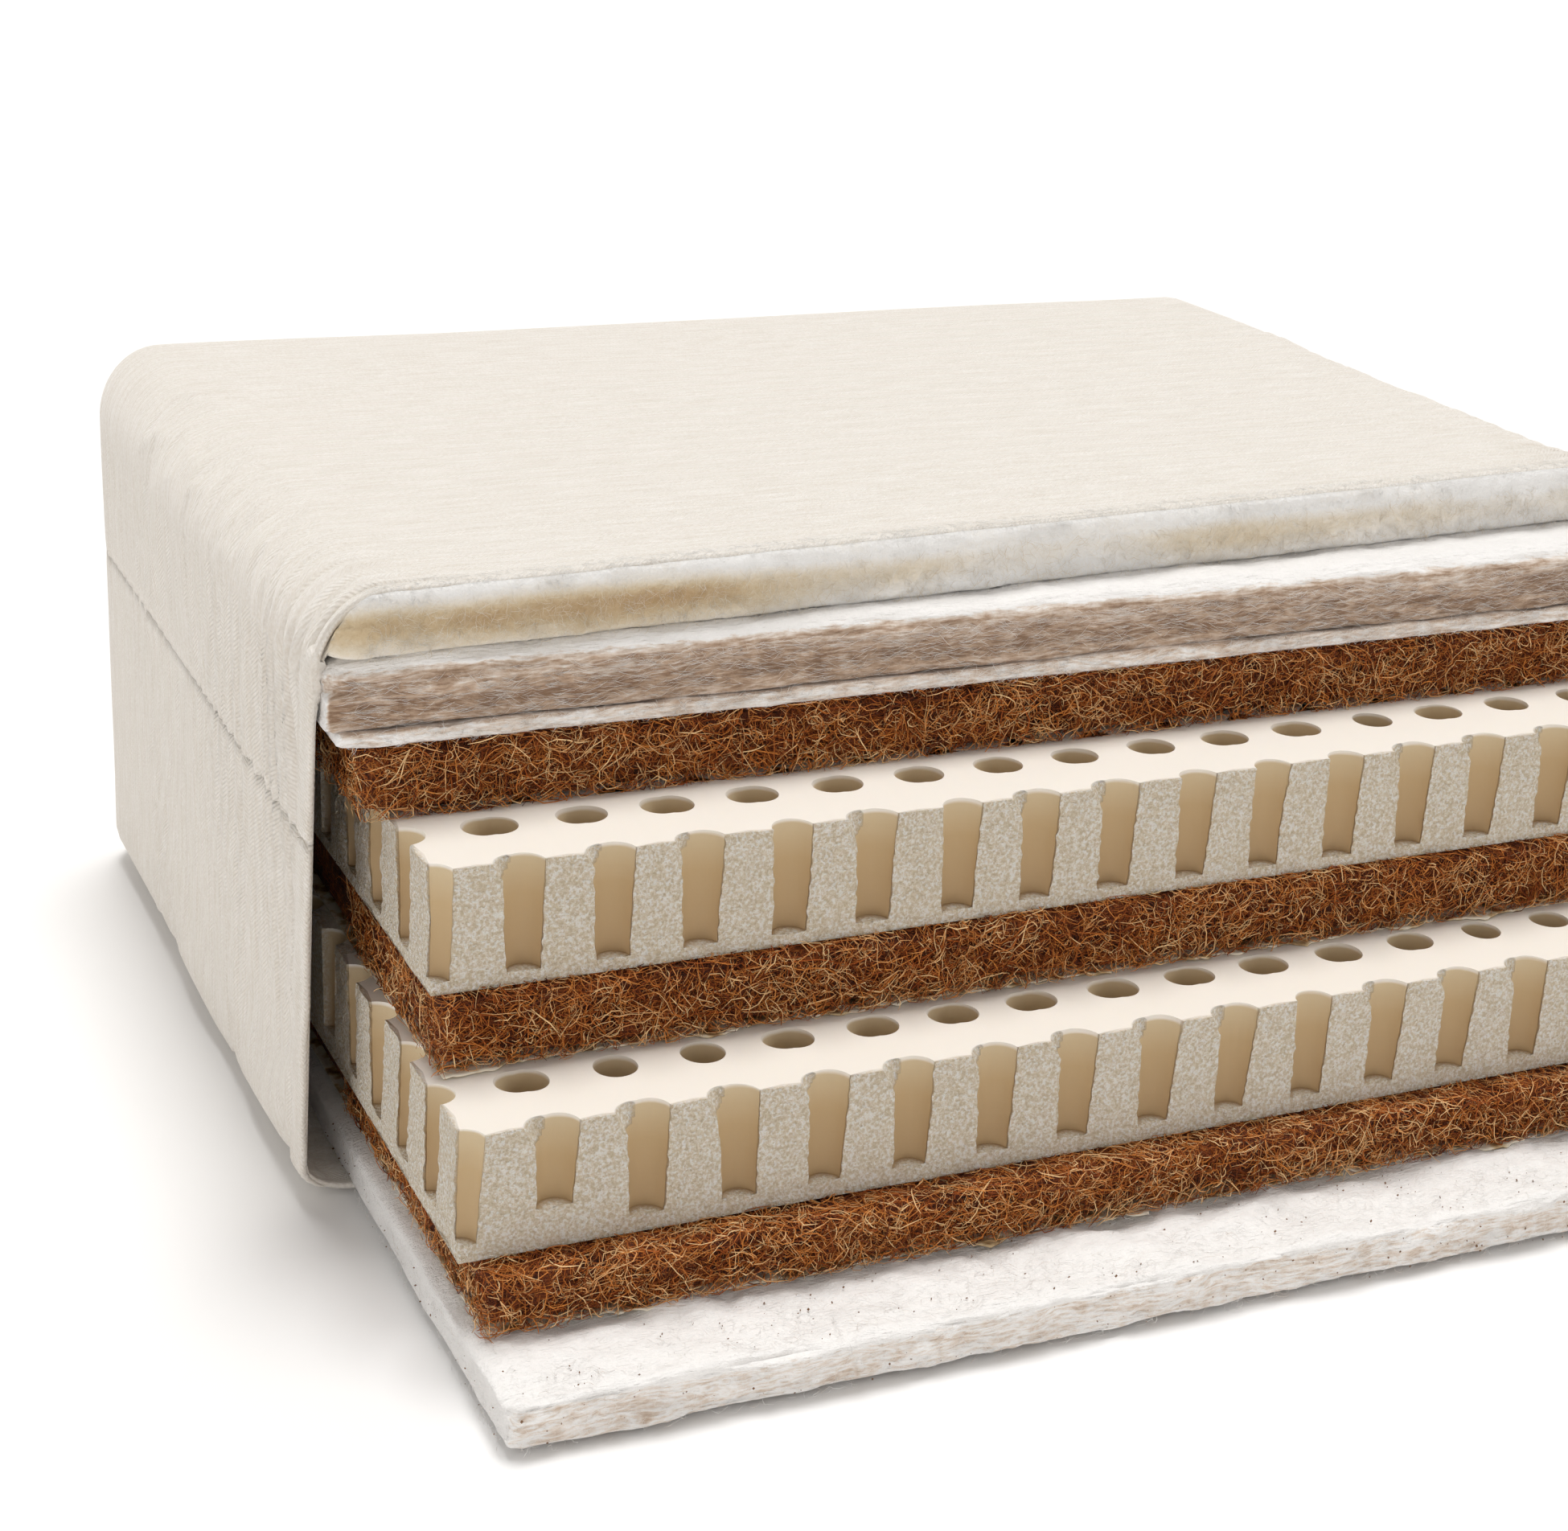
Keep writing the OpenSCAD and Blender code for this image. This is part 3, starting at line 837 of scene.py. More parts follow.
class BuildCover(bpy.types.Operator):
    """Cover halves, seam tape and hems"""

    bl_idname = "mattress.build_cover"
    bl_label = "Cover"

    def execute(self, context):
        cloth = herringbone_cotton(looks())
        upper = cover_half("cover_upper_cloth", SEAM_Z, COVER_TOP, ("-y", "-z"), SEED)
        lower = cover_half("cover_lower_cloth", 0.2, SEAM_Z - 0.03, ("-y", "+z"), SEED)
        place(upper, "cover_upper", cloth)
        place(lower, "cover_lower", cloth)
        tape = place(seam_tape("seam_tape_strip"), "seam_tape", cloth)
        over, under = [tape], []
        for side, word in ((-1, "left"), (1, "right")):
            upper_hem = side_hem(f"hem_{word}_upper_band", side, SEAM_Z + 0.5, 206, SEED + side)
            lower_hem = side_hem(f"hem_{word}_lower_band", side, 2.5, SEAM_Z - 0.5, SEED + 6)
            over.append(place(upper_hem, f"hem_{word}_upper", cloth))
            under.append(place(lower_hem, f"hem_{word}_lower", cloth))
        over.append(place(top_hem("hem_top_edge", SEED + 11), "hem_top", cloth))
        return {"FINISHED"}


# --- Wool and cotton ---


def tuck_under_cover(points, clearance):
    """Lowers points so that they stay under the cover: flat in the middle, elliptical at the
    rounded sides, and level with the cloth's outer face in front of the cut."""
    rx, ry, rz = np.array(COVER_R) - 2.6
    x = np.clip((np.abs(points[:, 0]) - (COVER_HALF - COVER_R[0])) / rx, 0, 1)
    y = np.clip((points[:, 1] - (COVER_BACK - COVER_R[1])) / ry, 0, 1)
    roof = COVER_TOP - COVER_R[2] + rz * np.sqrt(1 - np.minimum(x**2 + y**2, 1)) - clearance
    ahead = ease(1.0, -0.6, points[:, 1] - cut_y(points[:, 0], COVER_TOP))
    points[:, 2] = np.minimum(points[:, 2], roof + 3.4 * ahead)


def tuck_into_corners(points, gap):
    """Draws points in so that they stay inside the cover's walls and its round back corners."""
    room = COVER_R[0] - CLOTH - gap
    x0, y0 = COVER_HALF - COVER_R[0], COVER_BACK - COVER_R[1]
    x = np.clip(points[:, 0], -x0 - room, x0 + room)
    y = np.minimum(points[:, 1], y0 + room)
    dx, dy = np.maximum(np.abs(x) - x0, 0), np.maximum(y - y0, 0)
    far = np.sqrt(dx**2 + dy**2)
    pull = np.where((dx > 0) & (dy > 0), np.minimum(1, room / np.maximum(far, 1e-6)), 1)
    points[:, 0] = np.sign(x) * (np.minimum(np.abs(x), x0) + dx * pull)
    points[:, 1] = np.minimum(y, y0) + dy * pull


def soft_slab(low, high, r_up, r_down, fine, coarse, deep, fine_depth=26.0):
    """Skin of a soft layer, with its outward directions: a rounded box with fine cells on its
    front, its front edges and its ends, and coarse ones where it is hidden."""
    low, high = np.asarray(low, float), np.asarray(high, float)
    xs = graded((low[0], low[0] + 12, fine), (low[0] + 12, high[0] - 12, fine * 1.4),
                (high[0] - 12, high[0], fine))
    ys = graded((low[1], low[1] + fine_depth, fine), (low[1] + fine_depth, high[1], coarse))
    points, quads = box_grid(xs, ys, steps(low[2], high[2], deep))
    points, out = round_off(points, low, high, r_up, r_down)
    return points, out, quads


def scatter(regions, count, rng, weights=None):
    """Random places on some parallelograms, each given as (corner, edge, edge, outward), and
    the outward direction at each place."""
    areas = np.array([np.linalg.norm(np.cross(a, b)) for _, a, b, _ in regions])
    share = areas if weights is None else areas * weights
    pick = rng.choice(len(regions), size=count, p=share / share.sum())
    corner, a, b, out = (np.array([r[k] for r in regions], float)[pick] for k in range(4))
    return corner + a * rng.random((count, 1)) + b * rng.random((count, 1)), unit(out)


def walks(middle, out, way, turn, long):
    """Curled fibres on a surface: each heading is the direction `way`, laid flat on the surface
    and turned by `turn`, and the fibre is the running sum of its headings, centred on
    `middle`."""
    way = unit(way - out * (way * out).sum(-1, keepdims=True))
    side = np.cross(out, way)
    cos, sin = np.cos(turn)[..., None], np.sin(turn)[..., None]
    heading = way[:, None, :] * cos + side[:, None, :] * sin
    path = np.cumsum(heading * (long / (turn.shape[1] - 1))[:, None, None], axis=1)
    return middle[:, None, :] + path - path.mean(axis=1, keepdims=True)


def fuzz(name, regions, count, length, radius, curl, rise, slot, material, rng, pale, aim=None):
    """A coat of fine loose fibres: each walks across the surface while it turns at random,
    and bows away from it as a half sine. `pale` is the darkest and the palest shade, and `aim`
    the direction that most fibres follow."""
    joints = 4
    start, out = scatter(regions, count, rng)
    way = rng.normal(size=(count, 3))
    if aim is not None:
        way = way * 0.3 + np.asarray(aim, float) * rng.choice((-1, 1), size=(count, 1)) * 1.6
    turn = np.cumsum(rng.normal(size=(count, joints)) * curl, axis=1)
    path = walks(start, out, way, turn, length * (0.5 + rng.random(count)))
    bow = np.sin(math.pi * np.linspace(0.05, 0.95, joints))[None, :]
    bow = bow * (rise * rng.random(count))[:, None]
    path = path + out[:, None, :] * bow[..., None]
    path[..., 2] = np.maximum(path[..., 2], 0.3)
    points, quads, caps = fibre_tubes(path, radius * (0.7 + 0.6 * rng.random(count)))
    shade = np.repeat(pale[0] + (pale[1] - pale[0]) * rng.random(count), joints * 3)
    return place(link_mesh(name, points, quads, caps, shade=shade), None, material)


class BuildWool(bpy.types.Operator):
    """Wool fleece under the cover"""

    bl_idname = "mattress.build_wool"
    bl_label = "Wool fleece"

    def execute(self, context):
        low, high = box_mm("wool_layer")
        rng = np.random.default_rng(SEED + 20)
        material = raw_wool_fleece(looks())
        low = low + (1.0, 0.0, 0.3)
        high = high - (1.0, 1.0, -2.6)
        points, out, quads = soft_slab(low, high, (24, 3.6, 6), (12, 4, 4), 1.5, 9, 1.2)
        # The front follows the turned cut of the cover.
        t = (points[:, 1] - low[1]) / (high[1] - low[1])
        skew = FRONT_WOOL - low[1] + points[:, 0] * TURN_SLOPE
        points[:, 1] += skew * (1 - t)
        facing = np.clip(-out[:, 1], 0, 1)
        lumps = 1.5 * cell_noise(points, (30, 20, 11), SEED + 21)
        lumps += 1.5 * rough_noise(points, (6, 6, 5), SEED + 22, 3)
        lumps = lumps * np.clip(facing + 0.6 * np.abs(out[:, 0]), 0.1, 1) - 0.5
        points = points + out * lumps[:, None]
        tuck_under_cover(points, 0.5)
        tuck_into_corners(points, 0.8)
        height = (points[:, 2] - low[2]) / (high[2] - low[2])
        # Pale at the brow, where it meets the cloth; deepest gold at two thirds of the height.
        pale = 0.9 * ease(0.52, 0.92, height) + 0.40 * ease(0.46, 0.05, height) + 0.16
        pale += 0.30 * cell_noise(points, (70, 30, 30), SEED + 23)
        # Paler towards the right: painted light on the fleece.
        pale += 0.42 * ease(-220, 0, points[:, 0])
        body = link_mesh("wool_fleece", points, quads, shade=np.clip(pale, -0.2, 1))
        place(body, "wool_layer", material)
        span = high[0] - low[0] - 24
        x0 = low[0] + 12
        y0 = FRONT_WOOL + x0 * TURN_SLOPE
        tilt = (span, span * TURN_SLOPE, 0)
        top = COVER_TOP
        front = ((x0, y0 - 0.2, low[2] + 1), tilt, (0, 0, 15), (0, -1, 0.1))
        low_front = ((x0, y0 - 0.2, low[2] + 0.5), tilt, (0, 0, 8), (0, -1, 0.1))
        fuzz("wool_fuzz", (front,), 2600, 4.5, 0.05, 0.6, 1.6, "wool", material, rng,
             pale=(0.15, 0.85))
        fuzz("wool_tufts", (low_front,), 1300, 3.5, 0.05, 0.9, 2.0, "wool", material, rng,
             pale=(0.5, 1.0))
        brow = ((x0, y0 + 0.6, top - 5.5), tilt, (0, 1.6, 4.5), (0, -0.9, 0.4))
        over = ((x0, y0 + 0.6, top - 0.5), tilt, (0, 8.5, 0.5), (0, -0.15, 1))
        fuzz("wool_brow", (brow, over), 3600, 4.0, 0.04, 0.6, 0.7, "wool", material, rng,
             pale=(0.95, 1.3))
        return {"FINISHED"}


def batting(name, node, r_up, r_down, seed, material, lump, streak, hollow, tone):
    """Cotton batting: a soft slab whose front is combed into level streaks (noise stretched
    along X) and whose faces carry round lumps. `hollow` draws a band of the front in, and
    `tone` is (paleness of the front, paleness of the top). Both paint shade and light: a hollow
    over 1 mm is painted darker as shade, and `tone` paints the front and the top lighter or
    darker as light falls on them."""
    low, high = box_mm(node)
    # Soft layers press 0.5 mm into each other.
    low = low + (0.5, 0.3, -0.5)
    high = high - (0.5, 0.3, -0.5)
    points, out, quads = soft_slab(low, high, r_up, r_down, 1.35, 9, 1.0, 38.0)
    facing = np.clip(-out[:, 1], 0, 1)
    upward = np.clip(out[:, 2], 0, 1)
    height = (points[:, 2] - low[2]) / (high[2] - low[2])
    comb = rough_noise(points, (22, 5, 2.4), seed, 3)
    soft = rough_noise(points, (20, 15, 9), seed + 1, 4, 0.6)
    shown = facing + 0.6 * np.abs(out[:, 0]) + upward * (points[:, 1] < low[1] + 60)
    shown = np.clip(shown, 0.1, 1)
    lift = (streak * comb * (0.2 + 0.8 * facing) + lump * soft) * shown
    sag = hollow * facing * np.exp(-(((height - 0.42) / 0.2) ** 2))
    sag = sag * (0.6 + 0.5 * cell_noise(points, (70, 40, 40), seed + 2))
    points = points + out * (lift - sag - 0.35 * lump)[:, None]
    points[:, 2] = np.maximum(points[:, 2], 0.0)
    if low[2] > COVER_TOP / 2:
        tuck_into_corners(points, 0.8)
    # Painted light and shade: the front and the top take their paleness from `tone`, and a deep hollow
    # band of the front is painted darker as shade.
    pale = tone[0] + (tone[1] - tone[0]) * ease(0.72, 0.96, height)
    pale -= 0.16 * np.exp(-(((height - 0.3) / 0.22) ** 2)) * (hollow > 1) * facing
    pale += 0.16 * comb + 0.5 * np.abs(out[:, 0]) * (1 - facing)
    obj = link_mesh(name, points, quads, shade=np.clip(pale, -0.3, 1.2))
    place(obj, node, material)
    return low, high


def husk_specks(name, regions, count, rng, material):
    """Seed husks: flattened eight-sided beads, 0.4 to 1.2 mm long."""
    beads = np.array([(1, 0, 0), (-1, 0, 0), (0, 1, 0), (0, -1, 0), (0, 0, 1), (0, 0, -1)], float)
    faces = np.array([
        (0, 2, 4), (2, 1, 4), (1, 3, 4), (3, 0, 4), (2, 0, 5), (1, 2, 5), (3, 1, 5), (0, 3, 5)
    ])
    centre, _ = scatter(regions, count, rng)
    size = (0.2 + 0.3 * rng.random((count, 1)) ** 2) * (0.5 + 0.9 * rng.random((count, 3)))
    points = centre[:, None, :] + beads[None] * size[:, None, :]
    faces = faces[None] + (np.arange(count) * 6)[:, None, None]
    obj = link_mesh(name, points.reshape(-1, 3), None, faces.reshape(-1, 3), smooth=False)
    return place(obj, None, material)


class BuildCotton(bpy.types.Operator):
    """Upper batting with its thin ply, and the lower batting"""

    bl_idname = "mattress.build_cotton"
    bl_label = "Cotton batting"

    def execute(self, context):
        rng = np.random.default_rng(SEED + 30)
        cotton, husk = carded_cotton(looks()), cotton_seed_husk(looks())
        sideways = (1, 0, 0)
        # Through `tone`, each batting has a front painted in shade and a top painted lit, and the thin
        # ply has a top painted in shade under the batting above.
        low, high = batting(
            "cotton_upper_batting", "cotton_upper", (14, 9, 8), (6, 0.8, 0.7),
            SEED + 31, cotton, 1.5, 1.7, 2.4, (0.24, 0.95),
        )
        x0, span = low[0] + 6, high[0] - low[0] - 12
        front = ((x0, low[1] + 0.8, low[2] + 0.5), (span, 0, 0), (0, 0, 16), (0, -1, 0))
        lip = ((x0, low[1] + 1.0, low[2] + 14), (span, 0, 0), (0, 5, 6), (0, -0.7, 0.7))
        fuzz("cotton_upper_silk", (front,), 3200, 5.0, 0.06, 0.12, 1.2, "cotton", cotton, rng,
             aim=sideways, pale=(0.35, 1.1))
        # The lip's fibres are painted pale, as lit.
        fuzz("cotton_upper_lip", (lip,), 1500, 4.0, 0.05, 0.5, 1.0, "cotton", cotton, rng,
             aim=sideways, pale=(0.9, 1.2))
        husk_specks("cotton_upper_husks", (lip,), 20, rng, husk)
        low, high = batting(
            "cotton_thin_ply", "cotton_upper_ply", (6, 0.8, 0.6), (12, 3.0, 2.4),
            SEED + 34, cotton, 1.4, 1.2, 0.0, (0.5, 0.3),
        )
        edge = ((x0, low[1] + 0.6, low[2] + 1.2), (span, 0, 0), (0, 0, 5), (0, -1, 0.1))
        fuzz("cotton_ply_silk", (edge,), 1800, 4.0, 0.055, 0.4, 1.4, "cotton", cotton, rng,
             aim=sideways, pale=(0.5, 1.1))
        low, high = batting(
            "cotton_lower_batting", "cotton_lower", (8, 5, 4.5), (8, 4, 4),
            SEED + 37, cotton, 3.8, 1.3, 0.8, (0.55, 0.92),
        )
        x0, span = low[0] + 5, high[0] - low[0] - 10
        front = ((x0, low[1] + 0.5, low[2] + 1), (span, 0, 0), (0, 0, 15), (0, -1, 0))
        top = ((x0, low[1] + 4, high[2] - 0.9), (span, 0, 0), (0, 33, 0), (0, 0, 1))
        left = ((low[0] + 0.5, low[1] + 6, low[2] + 1), (0, 200, 0), (0, 0, 15), (-1, 0, 0))
        right = ((high[0] - 0.5, low[1] + 6, low[2] + 1), (0, 200, 0), (0, 0, 15), (1, 0, 0))
        fuzz("cotton_lower_fluff", (front, top, left, right), 3600, 4.5, 0.055, 0.6, 1.4,
             "cotton", cotton, rng, aim=sideways, pale=(0.5, 1.1))
        husk_specks("cotton_lower_husks", (front, top, left, right), 420, rng, husk)
        return {"FINISHED"}


# --- Coir ---


def coir_pad(node, seed, bare_top, material, strand):
    """A coir pad: a rough slab, with curling strands laid over its front, its ends and the
    strip of top that the layer above leaves bare, and short cut tips that stand out."""
    low, high = box_mm(node)
    rng = np.random.default_rng(seed)
    points, out, quads = soft_slab(
        low + (1.8, 2.4, 0.3), high - (1.8, 0.5, 0.5), (7, 6, 5), (7, 5, 4), 1.5, 12, 1.5, 16.0
    )
    rough = 1.2 * rough_noise(points, (6, 6, 4), seed + 1, 3)
    rough += 1.0 * cell_noise(points, (30, 30, 12), seed + 2)
    shown = np.clip(1 - (points[:, 1] - low[1] - 60) / 40, 0.1, 1)
    points = points + out * (rough * shown - 0.7)[:, None]
    body = link_mesh(f"{node}_mat", points, quads)
    place(body, node, material)

    s = sizes()
    radius = s.strand_radius / MM
    span = high - low
    deep = HIDDEN_Y - low[1]
    tall = span[2] - 2.4
    x0, y0, z0 = low + (1.4, 1.6, 0.3)
    x1, z1 = high[0] - 1.4, high[2] - 0.5
    regions = (
        ((x0, y0, z0), (span[0] - 2.8, 0, 0), (0, 0, tall), (0, -1, 0)),
        ((x0, y0, z0), (0, deep, 0), (0, 0, tall), (-1, 0, 0)),
        ((x1, y0, z0), (0, deep, 0), (0, 0, tall), (1, 0, 0)),
        ((x0, y0, z1), (span[0] - 2.8, 0, 0), (0, bare_top, 0), (0, -0.3, 1)),
    )
    face = sum(np.linalg.norm(np.cross(a, b)) for _, a, b, _ in regions)
    mean_length = 11.0
    count = int(s.strand_cover * face / (mean_length * 2 * radius))
    middle, out = scatter(regions, count, rng, (1.0, 0.6, 0.6, 0.9))
    long = mean_length * (0.35 + 1.3 * rng.random(count) ** 1.5)
    joints, bend, wobble = 5, 2.4, 0.26
    way = rng.normal(size=(count, 3)) * (1.0, 1.0, 0.8)
    t = np.linspace(-0.5, 0.5, joints)
    turn = (rng.normal(size=count) * bend)[:, None] * t[None, :]
    turn = turn + np.cumsum(rng.normal(size=(count, joints)), axis=1) * wobble
    path = walks(middle, out, way, turn, long)
    dive = rng.random(count) * 2.6 - 0.9
    wave = np.cos(t[None, :] * math.pi * (1 + 2 * rng.random(count))[:, None])
    lift = dive[:, None] + wave * (0.3 + 0.9 * rng.random(count))[:, None]
    # One strand in three is a cut tip: one end stands out of the face.
    tip = (rng.random(count) < 0.33) * rng.random(count) ** 2 * 4.0
    lift = lift + tip[:, None] * (t[None, :] + 0.5) ** 2
    path = path + out[:, None, :] * lift[..., None]
    ragged = 1.2 * rng.random((count, 1)) ** 2
    path[..., 2] = np.clip(path[..., 2], low[2] - ragged, high[2] - 0.2 + ragged)
    path[..., 0] = np.clip(path[..., 0], low[0] - 2.6, high[0] + 2.6)
    # Strands that stand further out are painted paler and deeper ones darker: painted light and shade.
    # The rest of the tone is random.
    tone = 0.47 + 0.32 * rng.normal(size=count) + 0.14 * (lift.mean(1) - 0.6)
    tone = np.clip(tone + 0.16 * cell_noise(middle, (18, 18, 9), seed + 5), 0.02, 1)
    thick = radius * (0.6 + 0.8 * rng.random(count) ** 2)
    parts = 3
    for part in range(parts):
        own = slice(part, None, parts)
        points, quads, caps = fibre_tubes(path[own], thick[own])
        shade = np.repeat(tone[own], joints * 3)
        obj = link_mesh(f"{node}_strands_{part + 1}", points, quads, caps, shade=shade)
        place(obj, None, strand)


class BuildCoir(bpy.types.Operator):
    """The three coir pads with their loose strands"""

    bl_idname = "mattress.build_coir"
    bl_label = "Coir pads"

    def execute(self, context):
        material, strand = coir_mat(looks()), coir_strand(looks())
        coir_pad("coir_upper", SEED + 40, 4.0, material, strand)
        coir_pad("coir_middle", SEED + 50, 6.0, material, strand)
        coir_pad("coir_lower", SEED + 60, 13.0, material, strand)
        return {"FINISHED"}


def glue_film(node, seed, material):
    """Dried glue film: a thin closed sheet whose front edge is torn. The edge stays just inside
    the pad, and runs out in tongues where noise along X is high."""
    low, high = box_mm(node)
    deep = 9.0
    xs = steps(low[0], high[0], 1.5)
    ys = graded((low[1], low[1] + deep, 1.0), (low[1] + deep, high[1], 40))
    x, y = np.meshgrid(xs, ys, indexing="ij")
    flat = np.stack([x, y * 0, x * 0], -1)
    tear = rough_noise(flat, (17, 1, 1), seed, 4)
    tongue = 7.5 * np.clip(tear - 0.1, 0, 1) ** 0.7 + 0.5 * cell_noise(flat, (2.0, 1, 1), seed)
    t = np.clip(1 - (y - low[1]) / deep, 0, 1)
    y = y + (1.4 - tongue) * t
    ripple = 0.4 * cell_noise(np.stack([x, y, x * 0], -1), (9, 4, 1), seed + 2) * t
    middle = (low[2] + high[2]) / 2
    top = np.stack([x, y, middle + 0.3 + ripple], -1)
    under = np.stack([x, y, middle - 0.3 + ripple], -1)
    skin = Skin()
    skin.patch(top)
    skin.patch(under, True)
    for edge, flip in ((0, True), (-1, False)):
        skin.patch(np.stack([top[edge], under[edge]]), flip)
        skin.patch(np.stack([top[:, edge], under[:, edge]]), not flip)
    points, quads = weld(*skin.joined())
    obj = link_mesh(f"{node}_film", points, quads)
    place(obj, node, material)


class BuildFilms(bpy.types.Operator):
    """Films of dried latex glue under two of the coir pads"""

    bl_idname = "mattress.build_films"
    bl_label = "Glue films"

    def execute(self, context):
        material = dried_latex_glue(looks())
        glue_film("bond_middle", SEED + 70, material)
        glue_film("bond_lower", SEED + 75, material)
        return {"FINISHED"}


# --- Latex ---


class PinHole:
    """Shape of a pin hole: a cone whose mouth is torn open towards -X, where the pin came out.
    The tear is a flat notch: widest at the top and straight behind, gone 9 mm further down
    and 70 degrees to each side. `torn` scales it from hole to hole."""

    TEAR, TEAR_DEPTH, TEAR_EDGE = 4.4, 9.0, 0.35

    def __init__(self, r_top, r_foot, z_top):
        self.r_top, self.r_foot, self.z_top = r_top, r_foot, z_top

    def radius(self, z, z_floor, cos, torn):
        cone = self.r_foot + (self.r_top - self.r_foot) * (z - z_floor) / (self.z_top - z_floor)
        depth = np.clip((z - self.z_top + self.TEAR_DEPTH * torn) / self.TEAR_DEPTH, 0, 1)
        notch = np.clip((-cos - self.TEAR_EDGE) / (1 - self.TEAR_EDGE), 0, 1)
        return cone + self.TEAR * depth * notch

    def bare(self, points, xs, ys, z_low, floor):
        """1 where the holes take the pale colour of the cut, 0 on moulded skin: on the front row's
        torn notches, where foam is bare and which stand more than 0.25 mm behind the cone, and on
        the floors, which are moulded skin painted pale as lit."""
        i = np.abs(points[:, :1] - xs[None, :]).argmin(1)
        j = np.abs(points[:, 1:2] - ys[None, :]).argmin(1)
        dx, dy, z = points[:, 0] - xs[i], points[:, 1] - ys[j], points[:, 2]
        far = np.sqrt(dx**2 + dy**2)
        cone = self.radius(z, z_low + floor, 0.0, 1.0)
        notch = (far > cone + 0.25) & (dx < -0.3 * far) & (z > self.z_top - self.TEAR_DEPTH)
        # The floors are painted in the cut's pale colour: painted light.
        foot = (far < self.r_foot * 0.95) & (z > z_low + 1)
        return (notch & (j == 0) & (z < self.z_top - 0.1) | foot).astype(float)


def pin_cell(skin, centre, angles, pitch, hole, z_floor, wall_z, fine, torn):
    """One cell of a slab round one pin hole. In each direction the top runs from the edge of
    the square cell to the hole's rim, the wall runs down to the floor, and the floor runs in
    to the axis."""
    cos, sin = np.cos(angles), np.sin(angles)
    square = pitch / 2 / np.maximum(np.abs(cos), np.abs(sin))
    tear_at = cos if fine else cos * 0
    rim = hole.radius(hole.z_top, z_floor, tear_at, torn)
    spread = np.linspace(1, 0, 6 if fine else 2)
    rings = [(rim * (1 - t) + square * t, hole.z_top) for t in spread]
    for z in wall_z[::-1][1:]:
        rings.append((hole.radius(z, z_floor, tear_at, torn), z))
    for t in (0.6, 0.25, 0.0) if fine else (0.0,):
        rings.append((hole.r_foot * t, z_floor))
    grid = np.stack([
        np.stack([
            centre[0] + cos * r, centre[1] + sin * r, np.broadcast_to(z, cos.shape)
        ], -1)
        for r, z in rings
    ])
    skin.patch(grid, True)


def cut_strip(skin, centres, floors, hole, z_low, lay, flip, fine_until, step, tears, torn):
    """The flat cut face along one side of a slab: a wall between each two half holes, whose
    edges follow the holes, and the skin under each hole. `lay` puts (u, z) into space."""
    for i in range(len(centres) - 1):
        fine = centres[i] < fine_until
        size = step if fine else 14.0
        z = np.unique(np.concatenate([
            steps(z_low, floors[i], size), steps(floors[i], hole.z_top, size)
        ]))
        a = np.maximum(z, floors[i])
        b = np.maximum(z, floors[i + 1])
        left = centres[i] + hole.radius(a, floors[i], 1.0, 1.0)
        right = centres[i + 1] - hole.radius(
            b, floors[i + 1], -1.0 if torn else 1.0, tears[i + 1]
        )
        t = np.linspace(0, 1, max(2, int(17 / size) + 1))
        u = left[None, :] * (1 - t[:, None]) + right[None, :] * t[:, None]
        skin.patch(lay(u, np.broadcast_to(z, u.shape)), flip)
    for i, centre in enumerate(centres):
        fine = centre < fine_until
        first = 0.0 if i == 0 else -hole.r_foot
        last = 0.0 if i == len(centres) - 1 and torn else hole.r_foot
        u = centre + np.linspace(first, last, 13 if fine else 3)
        z = steps(z_low, floors[i], step if fine else 14.0)
        u, z = np.meshgrid(u, z, indexing="ij")
        skin.patch(lay(u, z), flip)


def crumble(points, low, high, seed):
    """Roughens the cut faces of a slab: noise of 2.4 and 7 mm cells moves them in and out and
    frays their edges, fading within 1 mm of the cut. A slow noise then leans the whole slab's
    holes by up to 1 mm. Returns the points, a mask that is 1 on the cut, and the depth below
    the top as 0 to 1."""
    depth = np.clip((high[2] - points[:, 2]) / (high[2] - low[2]), 0, 1)
    shade = np.zeros(len(points))
    moved = points.copy()
    near_front = points[:, 1] < HIDDEN_Y + 10
    for axis, at, sign in ((1, low[1], -1), (0, low[0], -1), (0, high[0], 1)):
        distance = np.abs(points[:, axis] - at)
        weight = np.exp(-((distance / 0.9) ** 2)) * near_front
        face = points.copy()
        face[:, axis] = at
        grains = 0.60 * rough_noise(face, (2.4, 2.4, 2.4), seed + axis, 2)
        grains += 0.45 * cell_noise(face, (8, 8, 10), seed + 4)
        moved[:, axis] += sign * (grains - 0.35) * weight
        fray = 0.45 * cell_noise(face, (2.1, 2.1, 2.1), seed + 11)
        moved[:, 1 - axis] += fray * weight
        shade = np.maximum(shade, 1.0 * (distance < 0.02))
    on_top = points[:, 2] > high[2] - 0.1
    moved[:, 2] += np.where(on_top, 0.3 * cell_noise(points, (16, 16, 16), seed + 8) - 0.1, 0)
    slow = points * (1, 1, 0.55)
    moved[:, 0] += 1.2 * cell_noise(slow, (31, 31, 24), seed + 15) * near_front
    return moved, shade, depth


